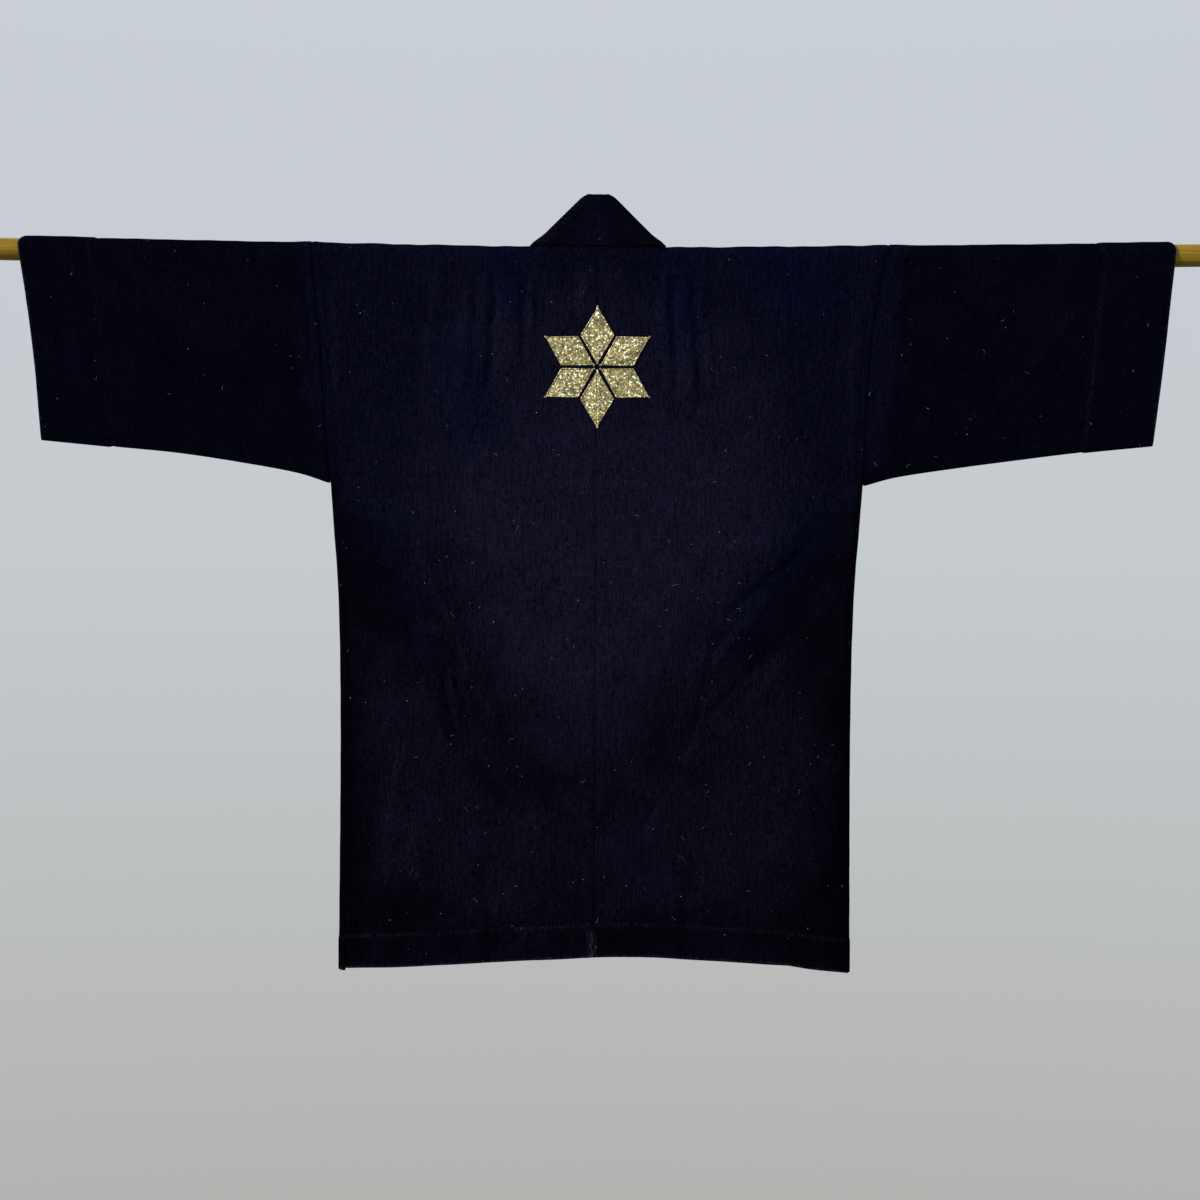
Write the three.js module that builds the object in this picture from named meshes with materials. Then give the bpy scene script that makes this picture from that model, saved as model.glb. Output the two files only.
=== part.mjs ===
// A hanten jacket seen from its back, hung flat on a rod that runs through both sleeves.
// Units are millimetres and +Z is up. The jacket's back faces -Y, and its left sleeve points along -X.
// The origin is the rod's axis at mid-length. Cloth is described by its inner surface, and its wall
// is added outwards from there.
import * as THREE from "three";

// Rod
const rod = { radius: 13, halfLength: 715, rise: 9.5, riseAt: 680, bend: 120, sides: 24, steps: 14 };

// Cloth walls and clearances
const seat = 0.4; // cloth above the rod
const seam = 0.3; // gap between two sewn pieces
const wall = { cloth: 1.6, hem: 2.6, armholeBulk: 1.3, collar: 4.5, collarEdge: 3.2, ornament: 1.2 };
const bulkReach = 36; // how far the bulk of an armhole's seam allowances is felt
const over = rod.radius + seat; // inner radius of cloth that lies over the rod

// Body
const neck = { halfWidth: 72, mitre: 0.85 };
const hemTurn = 36; // height of the turned hem
const frontDrop = 3; // how much lower the front hem hangs
const gussetTop = -258.6;
const sideHem = { x: 293, z: -813 };
const gusset = { topHalfDepth: 3.2, hemHalfDepth: 14.5, topBulge: 2, hemBulge: { left: 7.5, right: 4.5 } };
const middleDepth = { top: over, hem: 18.5 };
const sideBlend = { top: 150, hem: 235 }; // |x| from which the panels draw together towards their sides
const fallFrom = 60; // folds grow from nothing over this drop below the rod

// Sleeves
const sleeveFold = 2.2; // inner radius of the closed underside
const sleeveTaper = 1.6; // how late the two layers draw together
const cuffTurn = { width: 80, step: 8 };
const cuffRound = 7;

// Collar
const collar = { width: 61, topRadius: 3.5, bevel: 1.9, settled: 3, leastSettle: 8 };

// Ornament on the back
const ornament = { z: -124, radius: 70, hub: 3, leafHalfWidth: 20.2, gap: 1.3, tip: 0.7, spine: 0.7 };

// Half-width of the body at its sides, without the sleeves
const sideOutline = [
  { z: -815, x: 293.3 },
  { z: -640, x: 292.8 },
  { z: -460, x: 294 },
  { z: -390, x: 296 },
  { z: -355, x: 298 },
  { z: -320, x: 301 },
  { z: -258, x: 305.8 },
];

// Armhole seams, cuff edges and sleeve undersides, as distances from the middle
const armholeSeam = [
  { z: -258, left: 306, right: 306 },
  { z: -123, left: 316, right: 311.6 },
  { z: -45, left: 322, right: 320.5 },
  { z: 20, left: 328, right: 334 },
];
const cuffEdge = [
  { z: -209, left: 638, right: 638 },
  { z: -117, left: 645, right: 648 },
  { z: -48, left: 653.5, right: 654.5 },
  { z: 15, left: 663.5, right: 661 },
];
const sleeveUnderside = [
  { x: 306, left: -258, right: -258 },
  { x: 342, left: -246.5, right: -248 },
  { x: 411, left: -234, right: -237 },
  { x: 480, left: -224, right: -227.5 },
  { x: 549, left: -217.5, right: -218.5 },
  { x: 640, left: -209, right: -209 },
];

// Back hem, which hangs highest near the middle
const hemLine = [
  { x: -293, z: -811.8 },
  { x: -170, z: -806.5 },
  { x: -65, z: -800.2 },
  { x: 40, z: -796.1 },
  { x: 141, z: -800.2 },
  { x: 210, z: -803.3 },
  { x: 250, z: -809.5 },
  { x: 293, z: -814 },
];

// Largest soft folds: a ridge from (x0, z0) to (x1, z1), its half-width and its height
const folds = {
  back: [
    { x0: -139, z0: -30, x1: -151, z1: -150, width: 26, height: 2.4 },
    { x0: -98, z0: -30, x1: -104, z1: -140, width: 20, height: 1.8 },
    { x0: 104, z0: -30, x1: 114, z1: -150, width: 24, height: 2.4 },
    { x0: 236, z0: -300, x1: 164, z1: -376, width: 46, height: 4.2 },
    { x0: 164, z0: -376, x1: 118, z1: -549, width: 52, height: 3.6 },
    { x0: -222, z0: -320, x1: -169, z1: -494, width: 48, height: 3.8 },
    { x0: -169, z0: -494, x1: -94, z1: -600, width: 52, height: 3.4 },
    { x0: -60, z0: -690, x1: -40, z1: -830, width: 60, height: 3.2 },
    { x0: 160, z0: -700, x1: 200, z1: -830, width: 56, height: 3.6 },
    { x0: -205, z0: -680, x1: -225, z1: -830, width: 46, height: 2.8 },
    { x0: -543, z0: -60, x1: -420, z1: -135, width: 44, height: 3.4 },
    { x0: 400, z0: -70, x1: 520, z1: -125, width: 46, height: 2.8 },
  ],
  front: [
    { x0: -150, z0: -40, x1: -170, z1: -210, width: 34, height: 2.8 },
    { x0: 142, z0: -40, x1: 158, z1: -200, width: 32, height: 2.6 },
    { x0: -226, z0: -310, x1: -150, z1: -520, width: 50, height: 4 },
    { x0: 222, z0: -320, x1: 160, z1: -480, width: 50, height: 3.8 },
    { x0: -150, z0: -560, x1: -172, z1: -830, width: 58, height: 3.8 },
    { x0: 168, z0: -600, x1: 152, z1: -830, width: 54, height: 3.6 },
    { x0: -520, z0: -60, x1: -410, z1: -130, width: 44, height: 3 },
    { x0: 430, z0: -70, x1: 540, z1: -120, width: 42, height: 3 },
  ],
};

// Stations of the meshes
const neckColumns = [0, 20, 38, 51, 60, 65.5, 69.2, 71.2];
const sideColumns = [0, 0.07, 0.15, 0.25, 0.37, 0.5, 0.64, 0.78, 0.9, 1];
const armShares = [0, 0.13, 0.27, 0.42, 0.58, 0.74, 0.88, 1];
const turnShare = 1 - hemTurn / (gussetTop - sideHem.z);
const lowShares = [0, 0.06, 0.14, 0.23, 0.33, 0.44, 0.55, 0.66, 0.77, 0.86, turnShare, turnShare + 0.015, 1];
const wrapSteps = 8;
const foldSteps = 4;
const sleeveColumns = [0, 0.04, 0.11, 0.21, 0.34, 0.48, 0.62, 0.75, 0.78, 0.9, 0.98, 1];
const gussetSteps = 8;
const collarRows = [0, 5, 16, 31, 46, 57, 61];
const collarBackShares = [-1, -0.75, -0.45, -0.15, 0.15, 0.45, 0.75, 1];
const collarSettleShares = [0, 0.35, 0.7];
const collarFrontShares = [0, 0.03, 0.08, 0.16, 0.27, 0.4, 0.54, 0.68, 0.82, 0.945, 1];
const leafRows = [0, 0.25, 0.5, 0.75, 1];
const leafColumns = [-1, 0, 1];

const cloth = new THREE.MeshStandardMaterial({ color: 0x0b0a16, roughness: 0.95, metalness: 0 });
const wood = new THREE.MeshStandardMaterial({ color: 0x8c6c34, roughness: 0.6, metalness: 0 });
const gold = new THREE.MeshStandardMaterial({ color: 0xa89a62, roughness: 0.45, metalness: 0.6 });

// Small mathematics
const radians = Math.PI / 180;
const mix = (a, b, t) => a + (b - a) * t;
const clamp = (t) => Math.min(1, Math.max(0, t));
const ease = (t) => clamp(t) ** 2 * (3 - 2 * clamp(t));
const steps = (count, from, to) => Array.from({ length: count + 1 }, (_, k) => mix(from, to, k / count));

// A smooth curve through a table's rows, read from one column to another
function curve(table, key, value) {
  const xs = table.map((row) => row[key]);
  const ys = table.map((row) => row[value]);
  const last = xs.length - 1;
  const slopes = xs.map((_, i) => {
    const a = Math.max(0, i - 1);
    const b = Math.min(last, i + 1);
    return (ys[b] - ys[a]) / (xs[b] - xs[a]);
  });
  return (x) => {
    let i = 0;
    while (i < last - 1 && x > xs[i + 1]) i += 1;
    const width = xs[i + 1] - xs[i];
    const t = clamp((x - xs[i]) / width);
    const rise = slopes[i] * width * t * (1 - t) ** 2 - slopes[i + 1] * width * t * t * (1 - t);
    return mix(ys[i], ys[i + 1], ease(t)) + rise;
  };
}

// Named outlines, for the side "left" or "right"
const sideX = curve(sideOutline, "z", "x");
const hemBack = curve(hemLine, "x", "z");
const hemFront = (x) => hemBack(-x) - frontDrop;
const eachSide = (table, key) => ({ left: curve(table, key, "left"), right: curve(table, key, "right") });
const armholeX = eachSide(armholeSeam, "z");
const cuffX = eachSide(cuffEdge, "z");
const undersideZ = eachSide(sleeveUnderside, "x");
const sign = { left: -1, right: 1 };

// Height of the rod's axis, which bows down a little in the middle
function axisZ(x) {
  const bow = (at) => Math.hypot(at, rod.bend) - rod.bend;
  return (rod.rise * bow(x)) / bow(rod.riseAt);
}

// How far the folds of one layer stand out at a point
function foldHeight(face, x, z) {
  return folds[face].reduce((sum, fold) => {
    const along = { x: fold.x1 - fold.x0, z: fold.z1 - fold.z0 };
    const length2 = along.x ** 2 + along.z ** 2;
    const t = clamp(((x - fold.x0) * along.x + (z - fold.z0) * along.z) / length2);
    const away = Math.hypot(x - fold.x0 - along.x * t, z - fold.z0 - along.z * t);
    return sum + fold.height * ease(1 - away / fold.width);
  }, 0);
}

// A closed solid made from a grid of inner points: thick(i, j) gives its wall, keep(i, j) says
// which cells exist, and shift(i, j) moves an outer point, to bevel an edge. A ring closes on itself.
function clothSolid(name, material, grid, { thick, keep = () => true, shift = () => null, ring = false }) {
  const rows = grid.length;
  const columns = grid[0].length;
  const wrap = (i) => (ring ? i % rows : i);
  const cells = [];
  for (let i = 0; i < (ring ? rows : rows - 1); i += 1) {
    for (let j = 0; j < columns - 1; j += 1) {
      if (keep(i, j)) cells.push([i, j]);
    }
  }
  const corners = ([i, j]) => [[i, j], [wrap(i + 1), j], [wrap(i + 1), j + 1], [i, j + 1]];
  const key = ([i, j]) => i * columns + j;
  const normals = new Map();
  for (const cell of cells) {
    const [a, b, c, d] = corners(cell).map(([i, j]) => grid[i][j]);
    const face = new THREE.Vector3().crossVectors(c.clone().sub(a), d.clone().sub(b));
    for (const corner of corners(cell)) {
      const sum = normals.get(key(corner)) ?? new THREE.Vector3();
      normals.set(key(corner), sum.add(face.clone().normalize()));
    }
  }
  const points = [];
  const index = new Map();
  const vertex = ([i, j], outer) => {
    const id = key([i, j]) * 2 + outer;
    if (!index.has(id)) {
      const point = grid[i][j].clone();
      if (outer) {
        point.addScaledVector(normals.get(key([i, j])).clone().normalize(), thick(i, j));
        point.add(shift(i, j) ?? new THREE.Vector3());
      }
      index.set(id, points.length / 3);
      points.push(point.x, point.y, point.z);
    }
    return index.get(id);
  };
  const triangles = [];
  const quad = (a, b, c, d) => triangles.push(a, b, c, a, c, d);
  const edges = new Map();
  for (const cell of cells) {
    const around = corners(cell);
    const [a, b, c, d] = around.map((corner) => vertex(corner, 1));
    const [e, f, g, h] = around.map((corner) => vertex(corner, 0));
    quad(a, b, c, d);
    quad(h, g, f, e);
    around.forEach((corner, n) => {
      const next = around[(n + 1) % 4];
      const back = `${key(next)},${key(corner)}`;
      if (edges.has(back)) edges.delete(back);
      else edges.set(`${key(corner)},${key(next)}`, [corner, next]);
    });
  }
  for (const [from, to] of edges.values()) {
    quad(vertex(to, 1), vertex(from, 1), vertex(from, 0), vertex(to, 0));
  }
  const geometry = new THREE.BufferGeometry();
  geometry.setAttribute("position", new THREE.Float32BufferAttribute(points, 3));
  geometry.setIndex(triangles);
  const mesh = new THREE.Mesh(geometry, material);
  mesh.name = name;
  return mesh;
}

// Grid rows of one layer or both. A row lies over the rod, hangs beside the sleeve's depth, hangs
// below it, or turns round the sleeve's closed underside.
const wrapRows = steps(wrapSteps, -90, 90).map((angle) => ({ kind: "over", angle }));
const armRows = (face) => armShares.map((share) => ({ kind: "arm", face, share }));
const lowRows = (face) => lowShares.map((share) => ({ kind: "low", face, share }));
const faceSign = { back: -1, front: 1 };

// Section of a sleeve at the distance x from the middle
function sleeveSection(side, x, row) {
  const top = axisZ(x);
  const bottom = undersideZ[side](x) + wall.cloth + sleeveFold;
  if (row.kind === "over") {
    return { y: over * Math.sin(row.angle * radians), z: top + over * Math.cos(row.angle * radians) };
  }
  if (row.kind === "under") {
    const turn = row.angle * radians;
    return { y: sleeveFold * Math.sin(turn), z: bottom - sleeveFold * Math.cos(turn) };
  }
  const depth = over - (over - sleeveFold) * row.share ** sleeveTaper;
  return { y: faceSign[row.face] * depth, z: mix(top, bottom, row.share) };
}

// Where a row meets the armhole seam or the cuff edge. Each depends on the other's height, so the
// two are worked out in turn until they agree.
function edgeOf(outline, side, row) {
  let x = outline[side](0);
  for (let n = 0; n < 8; n += 1) x = outline[side](sleeveSection(side, x, row).z);
  return { x, ...sleeveSection(side, x, row) };
}

// The body's side edge: the armhole seam above the underarm and the gusset's seam below it
function gussetAt(side, share, hem) {
  const z = mix(gussetTop, hem, share);
  const bulge = mix(gusset.topBulge, gusset.hemBulge[side], ease(share * 2));
  const depth = mix(gusset.topHalfDepth, gusset.hemHalfDepth, share ** 0.8);
  return { x: sideX(z) - wall.cloth - bulge, z, bulge, depth };
}

function bodyEdge(side, row) {
  if (row.kind !== "low") return edgeOf(armholeX, side, row);
  const hem = (row.face === "back" ? hemBack : hemFront)(sign[side] * sideHem.x);
  const at = gussetAt(side, row.share, hem);
  return { x: at.x, y: faceSign[row.face] * at.depth, z: at.z };
}

// Inner depth of a layer down the body's middle, at a share of the way from the rod to the hem
const middleAt = (share) => mix(middleDepth.top, middleDepth.hem, share ** 1.5);

// How far the neck seam stands behind the rod's axis: over the rod at the corner, straight at the middle
function neckDepth(x) {
  const inward = clamp((neck.halfWidth - x) / over);
  return over * Math.sqrt(1 - (1 - inward) ** 2);
}

function bodyPoint(side, column, row) {
  const edge = bodyEdge(side, row);
  const front = row.face === "front" || (row.kind === "over" && row.angle >= 0);
  const inner = neck.halfWidth + (front ? seam / 2 : 0);
  const x = column.x ?? mix(inner, edge.x - seam / 2, column.share);
  const at = sign[side] * x;
  if (row.kind === "over") {
    const sine = Math.sin(row.angle * radians);
    const flat = column.x === undefined ? 0 : neckDepth(x) * (1 + sine);
    const drop = column.x !== undefined && row.angle === 0 ? seam / 2 : 0;
    return new THREE.Vector3(at, over * sine - flat, axisZ(x) + over * Math.cos(row.angle * radians) - drop);
  }
  const hem = row.face === "back" ? hemBack : hemFront;
  const share = (axisZ(edge.x) - edge.z) / (axisZ(edge.x) - hem(sign[side] * edge.x));
  const z = mix(axisZ(x), hem(at), share);
  const from = mix(sideBlend.top, sideBlend.hem, share);
  const toSide = ease((x - from) / (edge.x - from));
  const middle = middleAt(share);
  const fall = ease((axisZ(x) - z) / fallFrom) * (row.kind === "low" ? 1 - toSide : 1);
  const depth = mix(middle, Math.abs(edge.y), toSide) + fall * foldHeight(row.face, at, z);
  return new THREE.Vector3(at, faceSign[row.face] * depth, z);
}

// Extra thickness of the seam allowances beside an armhole
function armholeBulk(side, x, z) {
  return wall.armholeBulk * ease(1 - Math.abs(x - armholeX[side](z)) / bulkReach);
}

function makeBody(side) {
  const columns = [
    ...neckColumns.map((x) => ({ x: Math.max(x, seam / 2) })),
    ...sideColumns.map((share) => ({ share })),
  ];
  const rows = [
    ...lowRows("back").reverse(),
    ...armRows("back").reverse().slice(0, -1),
    ...wrapRows,
    ...armRows("front").slice(1),
    ...lowRows("front"),
  ];
  const shoulder = rows.findIndex((row) => row.kind === "over" && row.angle === 0);
  const neckColumn = neckColumns.length;
  const grid = rows.map((row) => columns.map((column) => bodyPoint(side, column, row)));
  const ordered = side === "left" ? grid : grid.map((line) => [...line].reverse());
  const column = (j) => (side === "left" ? j : columns.length - 1 - j);
  const cell = (j) => (side === "left" ? j : columns.length - 2 - j);
  return clothSolid(`body_${side}`, cloth, ordered, {
    thick: (i, j) => {
      const { x, z } = ordered[i][j];
      const turned = rows[i].kind === "low" && rows[i].share > turnShare;
      const bulk = rows[i].kind === "low" ? 0 : armholeBulk(side, Math.abs(x), z);
      return (turned ? wall.hem : wall.cloth) + bulk;
    },
    keep: (i, j) => i < shoulder || cell(j) >= neckColumn,
    shift: (i, j) => {
      if (column(j) !== neckColumn || rows[i].kind !== "over" || i < shoulder) return null;
      return new THREE.Vector3(sign[side] * neck.mitre * Math.cos(rows[i].angle * radians), 0, 0);
    },
  });
}

function makeSleeve(side) {
  const rows = [
    ...armRows("back").reverse().slice(0, -1),
    ...wrapRows,
    ...armRows("front").slice(1),
    ...steps(foldSteps, 90, -90).slice(1, -1).map((angle) => ({ kind: "under", angle })),
  ];
  const grid = rows.map((row) => {
    const start = edgeOf(armholeX, side, row);
    const end = edgeOf(cuffX, side, row);
    return sleeveColumns.map((share) => {
      const rounded = row.kind === "over" ? cuffRound * Math.cos(row.angle * radians) ** 4 : 0;
      const x = mix(start.x + seam / 2, end.x - rounded, share);
      const { y, z } = sleeveSection(side, x, row);
      const at = sign[side] * x;
      if (row.kind !== "arm") return new THREE.Vector3(at, y, z);
      const fall = ease((axisZ(x) - z) / fallFrom) * (1 - ease(row.share * 2 - 1));
      return new THREE.Vector3(at, y + faceSign[row.face] * fall * foldHeight(row.face, at, z), z);
    });
  });
  const ordered = side === "left" ? grid : grid.map((line) => [...line].reverse());
  return clothSolid(`sleeve_${side}`, cloth, ordered, {
    ring: true,
    thick: (i, j) => {
      const { x, z } = ordered[i][j];
      const toCuff = cuffX[side](z) - Math.abs(x);
      const bulk = rows[i].kind === "under" ? 0 : armholeBulk(side, Math.abs(x), z);
      const turned = ease((cuffTurn.width - toCuff) / cuffTurn.step + 0.5);
      return mix(wall.cloth, wall.hem, turned) + bulk;
    },
  });
}

function makeGusset(side) {
  const hem = mix(hemBack(sign[side] * sideHem.x), hemFront(sign[side] * sideHem.x), 0.5);
  const grid = lowShares.map((share) => {
    const { x, z, bulge, depth } = gussetAt(side, share, hem);
    return steps(gussetSteps, -90, 90).map((angle) => {
      const out = x + seam / 2 + bulge * Math.cos(angle * radians);
      return new THREE.Vector3(sign[side] * out, sign[side] * depth * Math.sin(angle * radians), z);
    });
  });
  return clothSolid(`gusset_${side}`, cloth, grid, { thick: () => wall.cloth });
}

// The collar is a flat band folded at 45 degrees over each shoulder, so that it stands up behind the
// neck and hangs down both fronts. w runs across the band from its seam.
function collarPoint(station, w) {
  const foldX = neck.halfWidth - w;
  const foldZ = over + w + axisZ(foldX);
  const radius = mix(over, collar.topRadius, (w / collar.width) ** 1.4);
  const turn = station.angle * radians;
  if (station.kind === "back") return new THREE.Vector3(station.share * (foldX - radius), -radius, foldZ);
  if (station.kind === "backTurn") {
    const x = foldX - radius * (1 - Math.cos(turn));
    return new THREE.Vector3(station.side * x, -radius * Math.sin(turn), foldZ);
  }
  if (station.kind === "frontTurn") {
    const z = foldZ - radius * (1 - Math.cos(turn));
    return new THREE.Vector3(station.side * foldX, radius * Math.sin(turn), z);
  }
  const start = foldZ - radius;
  const settled = Math.min(collar.settled, start - collar.leastSettle);
  const hem = hemFront(station.side * neck.halfWidth);
  if (station.kind === "settle") {
    const z = mix(start, settled, station.share);
    return new THREE.Vector3(station.side * foldX, mix(radius, over, ease(station.share)), z);
  }
  const z = mix(settled, hem, station.share);
  return new THREE.Vector3(station.side * foldX, middleAt(clamp(z / hem)), z);
}

function makeCollar() {
  const front = (side) => [
    ...collarSettleShares.map((share) => ({ kind: "settle", side, share })),
    ...collarFrontShares.map((share) => ({ kind: "front", side, share })),
  ];
  const turns = (kind, side) => steps(4, 0, 90).map((angle) => ({ kind, side, angle }));
  const stations = [
    ...front(-1).reverse(),
    ...turns("frontTurn", -1).reverse().slice(1),
    ...turns("backTurn", -1).slice(1),
    ...collarBackShares.slice(1, -1).map((share) => ({ kind: "back", share })),
    ...turns("backTurn", 1).reverse().slice(0, -1),
    ...turns("frontTurn", 1).slice(0, -1),
    ...front(1),
  ];
  const rows = collarRows.map((w) => Math.max(w, seam / 2));
  const grid = stations.map((station) => rows.map((w) => collarPoint(station, w)));
  const towards = (i, j, next) => grid[i][next].clone().sub(grid[i][j]).normalize();
  const last = rows.length - 1;
  return clothSolid("collar", cloth, grid, {
    thick: (i, j) => (j === 0 || j === last ? wall.collarEdge : wall.collar),
    shift: (i, j) => (j === 0 ? towards(i, 0, 1).multiplyScalar(collar.bevel) : null),
  });
}

// Outer surface of the back at a point of the middle, where the ornament lies
function backSurface(x, z) {
  const share = (axisZ(x) - z) / (axisZ(x) - hemBack(x));
  return -middleAt(share) - wall.cloth;
}

// Six lozenge leaves of a hemp star, each raised along its spine
function makeLeaf(number) {
  const angle = (90 - 60 * (number - 1)) * radians;
  const along = { x: Math.cos(angle), z: Math.sin(angle) };
  const length = ornament.radius - ornament.hub;
  const grid = leafRows.map((share) => {
    const reach = ornament.hub + length * share;
    const full = ornament.leafHalfWidth * (1 - Math.abs(2 * share - 1)) - ornament.gap;
    const half = Math.max(ornament.tip, full);
    return leafColumns.map((across) => {
      const x = along.x * reach - along.z * half * across;
      const z = ornament.z + along.z * reach + along.x * half * across;
      return new THREE.Vector3(x, backSurface(x, z) - seam, z);
    });
  });
  return clothSolid(`ornament_leaf_${number}`, gold, grid, {
    thick: (i, j) => wall.ornament + (leafColumns[j] === 0 ? ornament.spine : 0),
  });
}

function makeRod() {
  const path = new THREE.CatmullRomCurve3(
    steps(rod.steps, -rod.halfLength, rod.halfLength).map((x) => new THREE.Vector3(x, 0, axisZ(x))),
  );
  const round = new THREE.Shape(
    steps(rod.sides, 0, 360).slice(1).map((angle) => {
      const turn = angle * radians;
      return new THREE.Vector2(rod.radius * Math.cos(turn), rod.radius * Math.sin(turn));
    }),
  );
  const geometry = new THREE.ExtrudeGeometry(round, { steps: rod.steps, extrudePath: path });
  const mesh = new THREE.Mesh(geometry, wood);
  mesh.name = "rod";
  return mesh;
}

const jacket = new THREE.Group();
jacket.add(makeRod());
for (const side of ["left", "right"]) jacket.add(makeBody(side), makeSleeve(side), makeGusset(side));
jacket.add(makeCollar());
for (let number = 1; number <= 6; number += 1) jacket.add(makeLeaf(number));

export default jacket;
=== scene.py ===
"""A hanten jacket hung flat on a rod: its cloth, sewing, applique and stage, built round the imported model.

Tables and shape functions are in millimetres, as the jacket's own drawing is, with +Z up and the jacket's
back facing -Y. A mesh is scaled to metres once, when it is made. x is measured from the middle of the back.
"""

import math
from types import SimpleNamespace as Sizes

import bpy
import numpy as np
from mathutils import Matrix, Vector
from mathutils.bvhtree import BVHTree


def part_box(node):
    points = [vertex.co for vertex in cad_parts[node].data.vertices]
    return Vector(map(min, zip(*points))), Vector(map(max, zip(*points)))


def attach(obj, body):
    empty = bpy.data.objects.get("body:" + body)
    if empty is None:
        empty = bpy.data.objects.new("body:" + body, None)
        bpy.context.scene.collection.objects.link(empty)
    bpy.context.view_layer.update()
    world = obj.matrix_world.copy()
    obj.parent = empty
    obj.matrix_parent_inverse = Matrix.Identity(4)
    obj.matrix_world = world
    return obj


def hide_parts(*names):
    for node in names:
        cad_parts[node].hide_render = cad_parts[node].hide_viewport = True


bl_info = {
    "name": "Hanten Jacket",
    "version": (1, 0, 0),
    "blender": (4, 5, 0),
    "location": "View3D > Sidebar > Jacket",
    "description": "Builds an indigo cotton hanten jacket on a rod",
    "category": "Object",
}

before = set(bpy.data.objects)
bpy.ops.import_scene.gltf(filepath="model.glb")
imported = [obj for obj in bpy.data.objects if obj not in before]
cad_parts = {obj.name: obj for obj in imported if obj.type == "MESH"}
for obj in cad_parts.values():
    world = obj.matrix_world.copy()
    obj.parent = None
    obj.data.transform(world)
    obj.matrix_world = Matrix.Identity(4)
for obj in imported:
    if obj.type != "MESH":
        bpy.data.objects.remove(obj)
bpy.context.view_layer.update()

MM = 0.001
COTTON, GOLD, WOOD = "indigo_cotton", "gold_applique", "rod_wood"
SIGN = {"left": -1, "right": 1}
BACK, FRONT = -1, 1


def table(columns, *rows):
    """Rows of numbers, kept as one array for each named column."""
    return dict(zip(columns.split(), np.array(rows, float).T))


# Sizes of the cut and of how it hangs
rod = Sizes(
    radius=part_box("rod")[1].y / MM, half_length=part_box("rod")[1].x / MM, rise=9.5, rise_at=680, bend=120
)
wall = Sizes(cloth=1.6, hem=2.6, armhole_bulk=1.3, collar=4.5, collar_edge=2.5)
over = rod.radius + 0.4
bulk_reach = 36
neck = Sizes(half_width=72, mitre=0.85)
hem_turn = 36
front_drop = 3
gusset_top = -258.6
side_hem = Sizes(x=293, z=-813)
gusset = Sizes(top_half=3.2, hem_half=14.5, top_bulge=2, hem_bulge={"left": 7.5, "right": 4.5})
middle_depth = Sizes(top=over, hem=18.5)
side_blend = Sizes(top=150, hem=235)
fall_from = 60
sleeve_fold = 2.2
sleeve_taper = 1.6
cuff_turn = 80
cuff_round = 7
collar = Sizes(
    width=61, top_radius=3.5, bevel=1.9, settled=3, least_settle=8, crease=11, flare=6.5, flare_height=15
)
ornament = Sizes(z=-124, radius=70, hub=3, half_width=20.2, gap=1.3, tip=0.7)
lining_z = -256
# Usual lengths of the cloth's parts, which set how many cells a mesh has
spans = Sizes(body=234, arm=262, sleeve=333, band=812)

side_outline = table(
    "z x", (-815, 293.3), (-640, 292.8), (-460, 294), (-390, 296), (-355, 298), (-320, 301), (-258, 305.8)
)
armhole_seam = table(
    "z left right", (-258, 306, 306), (-123, 316, 311.6), (-45, 322, 320.5), (20, 328, 334)
)
cuff_edge = table(
    "z left right", (-209, 638, 638), (-117, 645, 648), (-48, 653.5, 654.5), (15, 663.5, 661)
)
sleeve_underside = table(
    "x left right", (306, -258, -258), (342, -246.5, -248), (411, -234, -237), (480, -224, -227.5),
    (549, -217.5, -218.5), (640, -209, -209),
)
hem_line = table(
    "x z", (-293, -811.8), (-170, -806.5), (-65, -800.2), (40, -796.1), (141, -800.2), (210, -803.3),
    (250, -809.5), (293, -814),
)

# The largest folds, as the solids have them: x and z where a ridge starts, x and z where it ends, its
# half-width and its height
FOLDS = {
    BACK: (
        (-139, -30, -151, -150, 26, 2.4), (-98, -30, -104, -140, 20, 1.8), (104, -30, 114, -150, 24, 2.4),
        (236, -300, 164, -376, 46, 4.2), (164, -376, 118, -549, 52, 3.6), (-222, -320, -169, -494, 48, 3.8),
        (-169, -494, -94, -600, 52, 3.4), (-60, -690, -40, -830, 60, 3.2), (160, -700, 200, -830, 56, 3.6),
        (-205, -680, -225, -830, 46, 2.8), (-543, -60, -420, -135, 44, 3.4), (400, -70, 520, -125, 46, 2.8),
    ),
    FRONT: (
        (-150, -40, -170, -210, 34, 2.8), (142, -40, 158, -200, 32, 2.6), (-226, -310, -150, -520, 50, 4),
        (222, -320, 160, -480, 50, 3.8), (-150, -560, -172, -830, 58, 3.8), (168, -600, 152, -830, 54, 3.6),
        (-520, -60, -410, -130, 44, 3), (430, -70, 540, -120, 42, 3),
    ),
}

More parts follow.
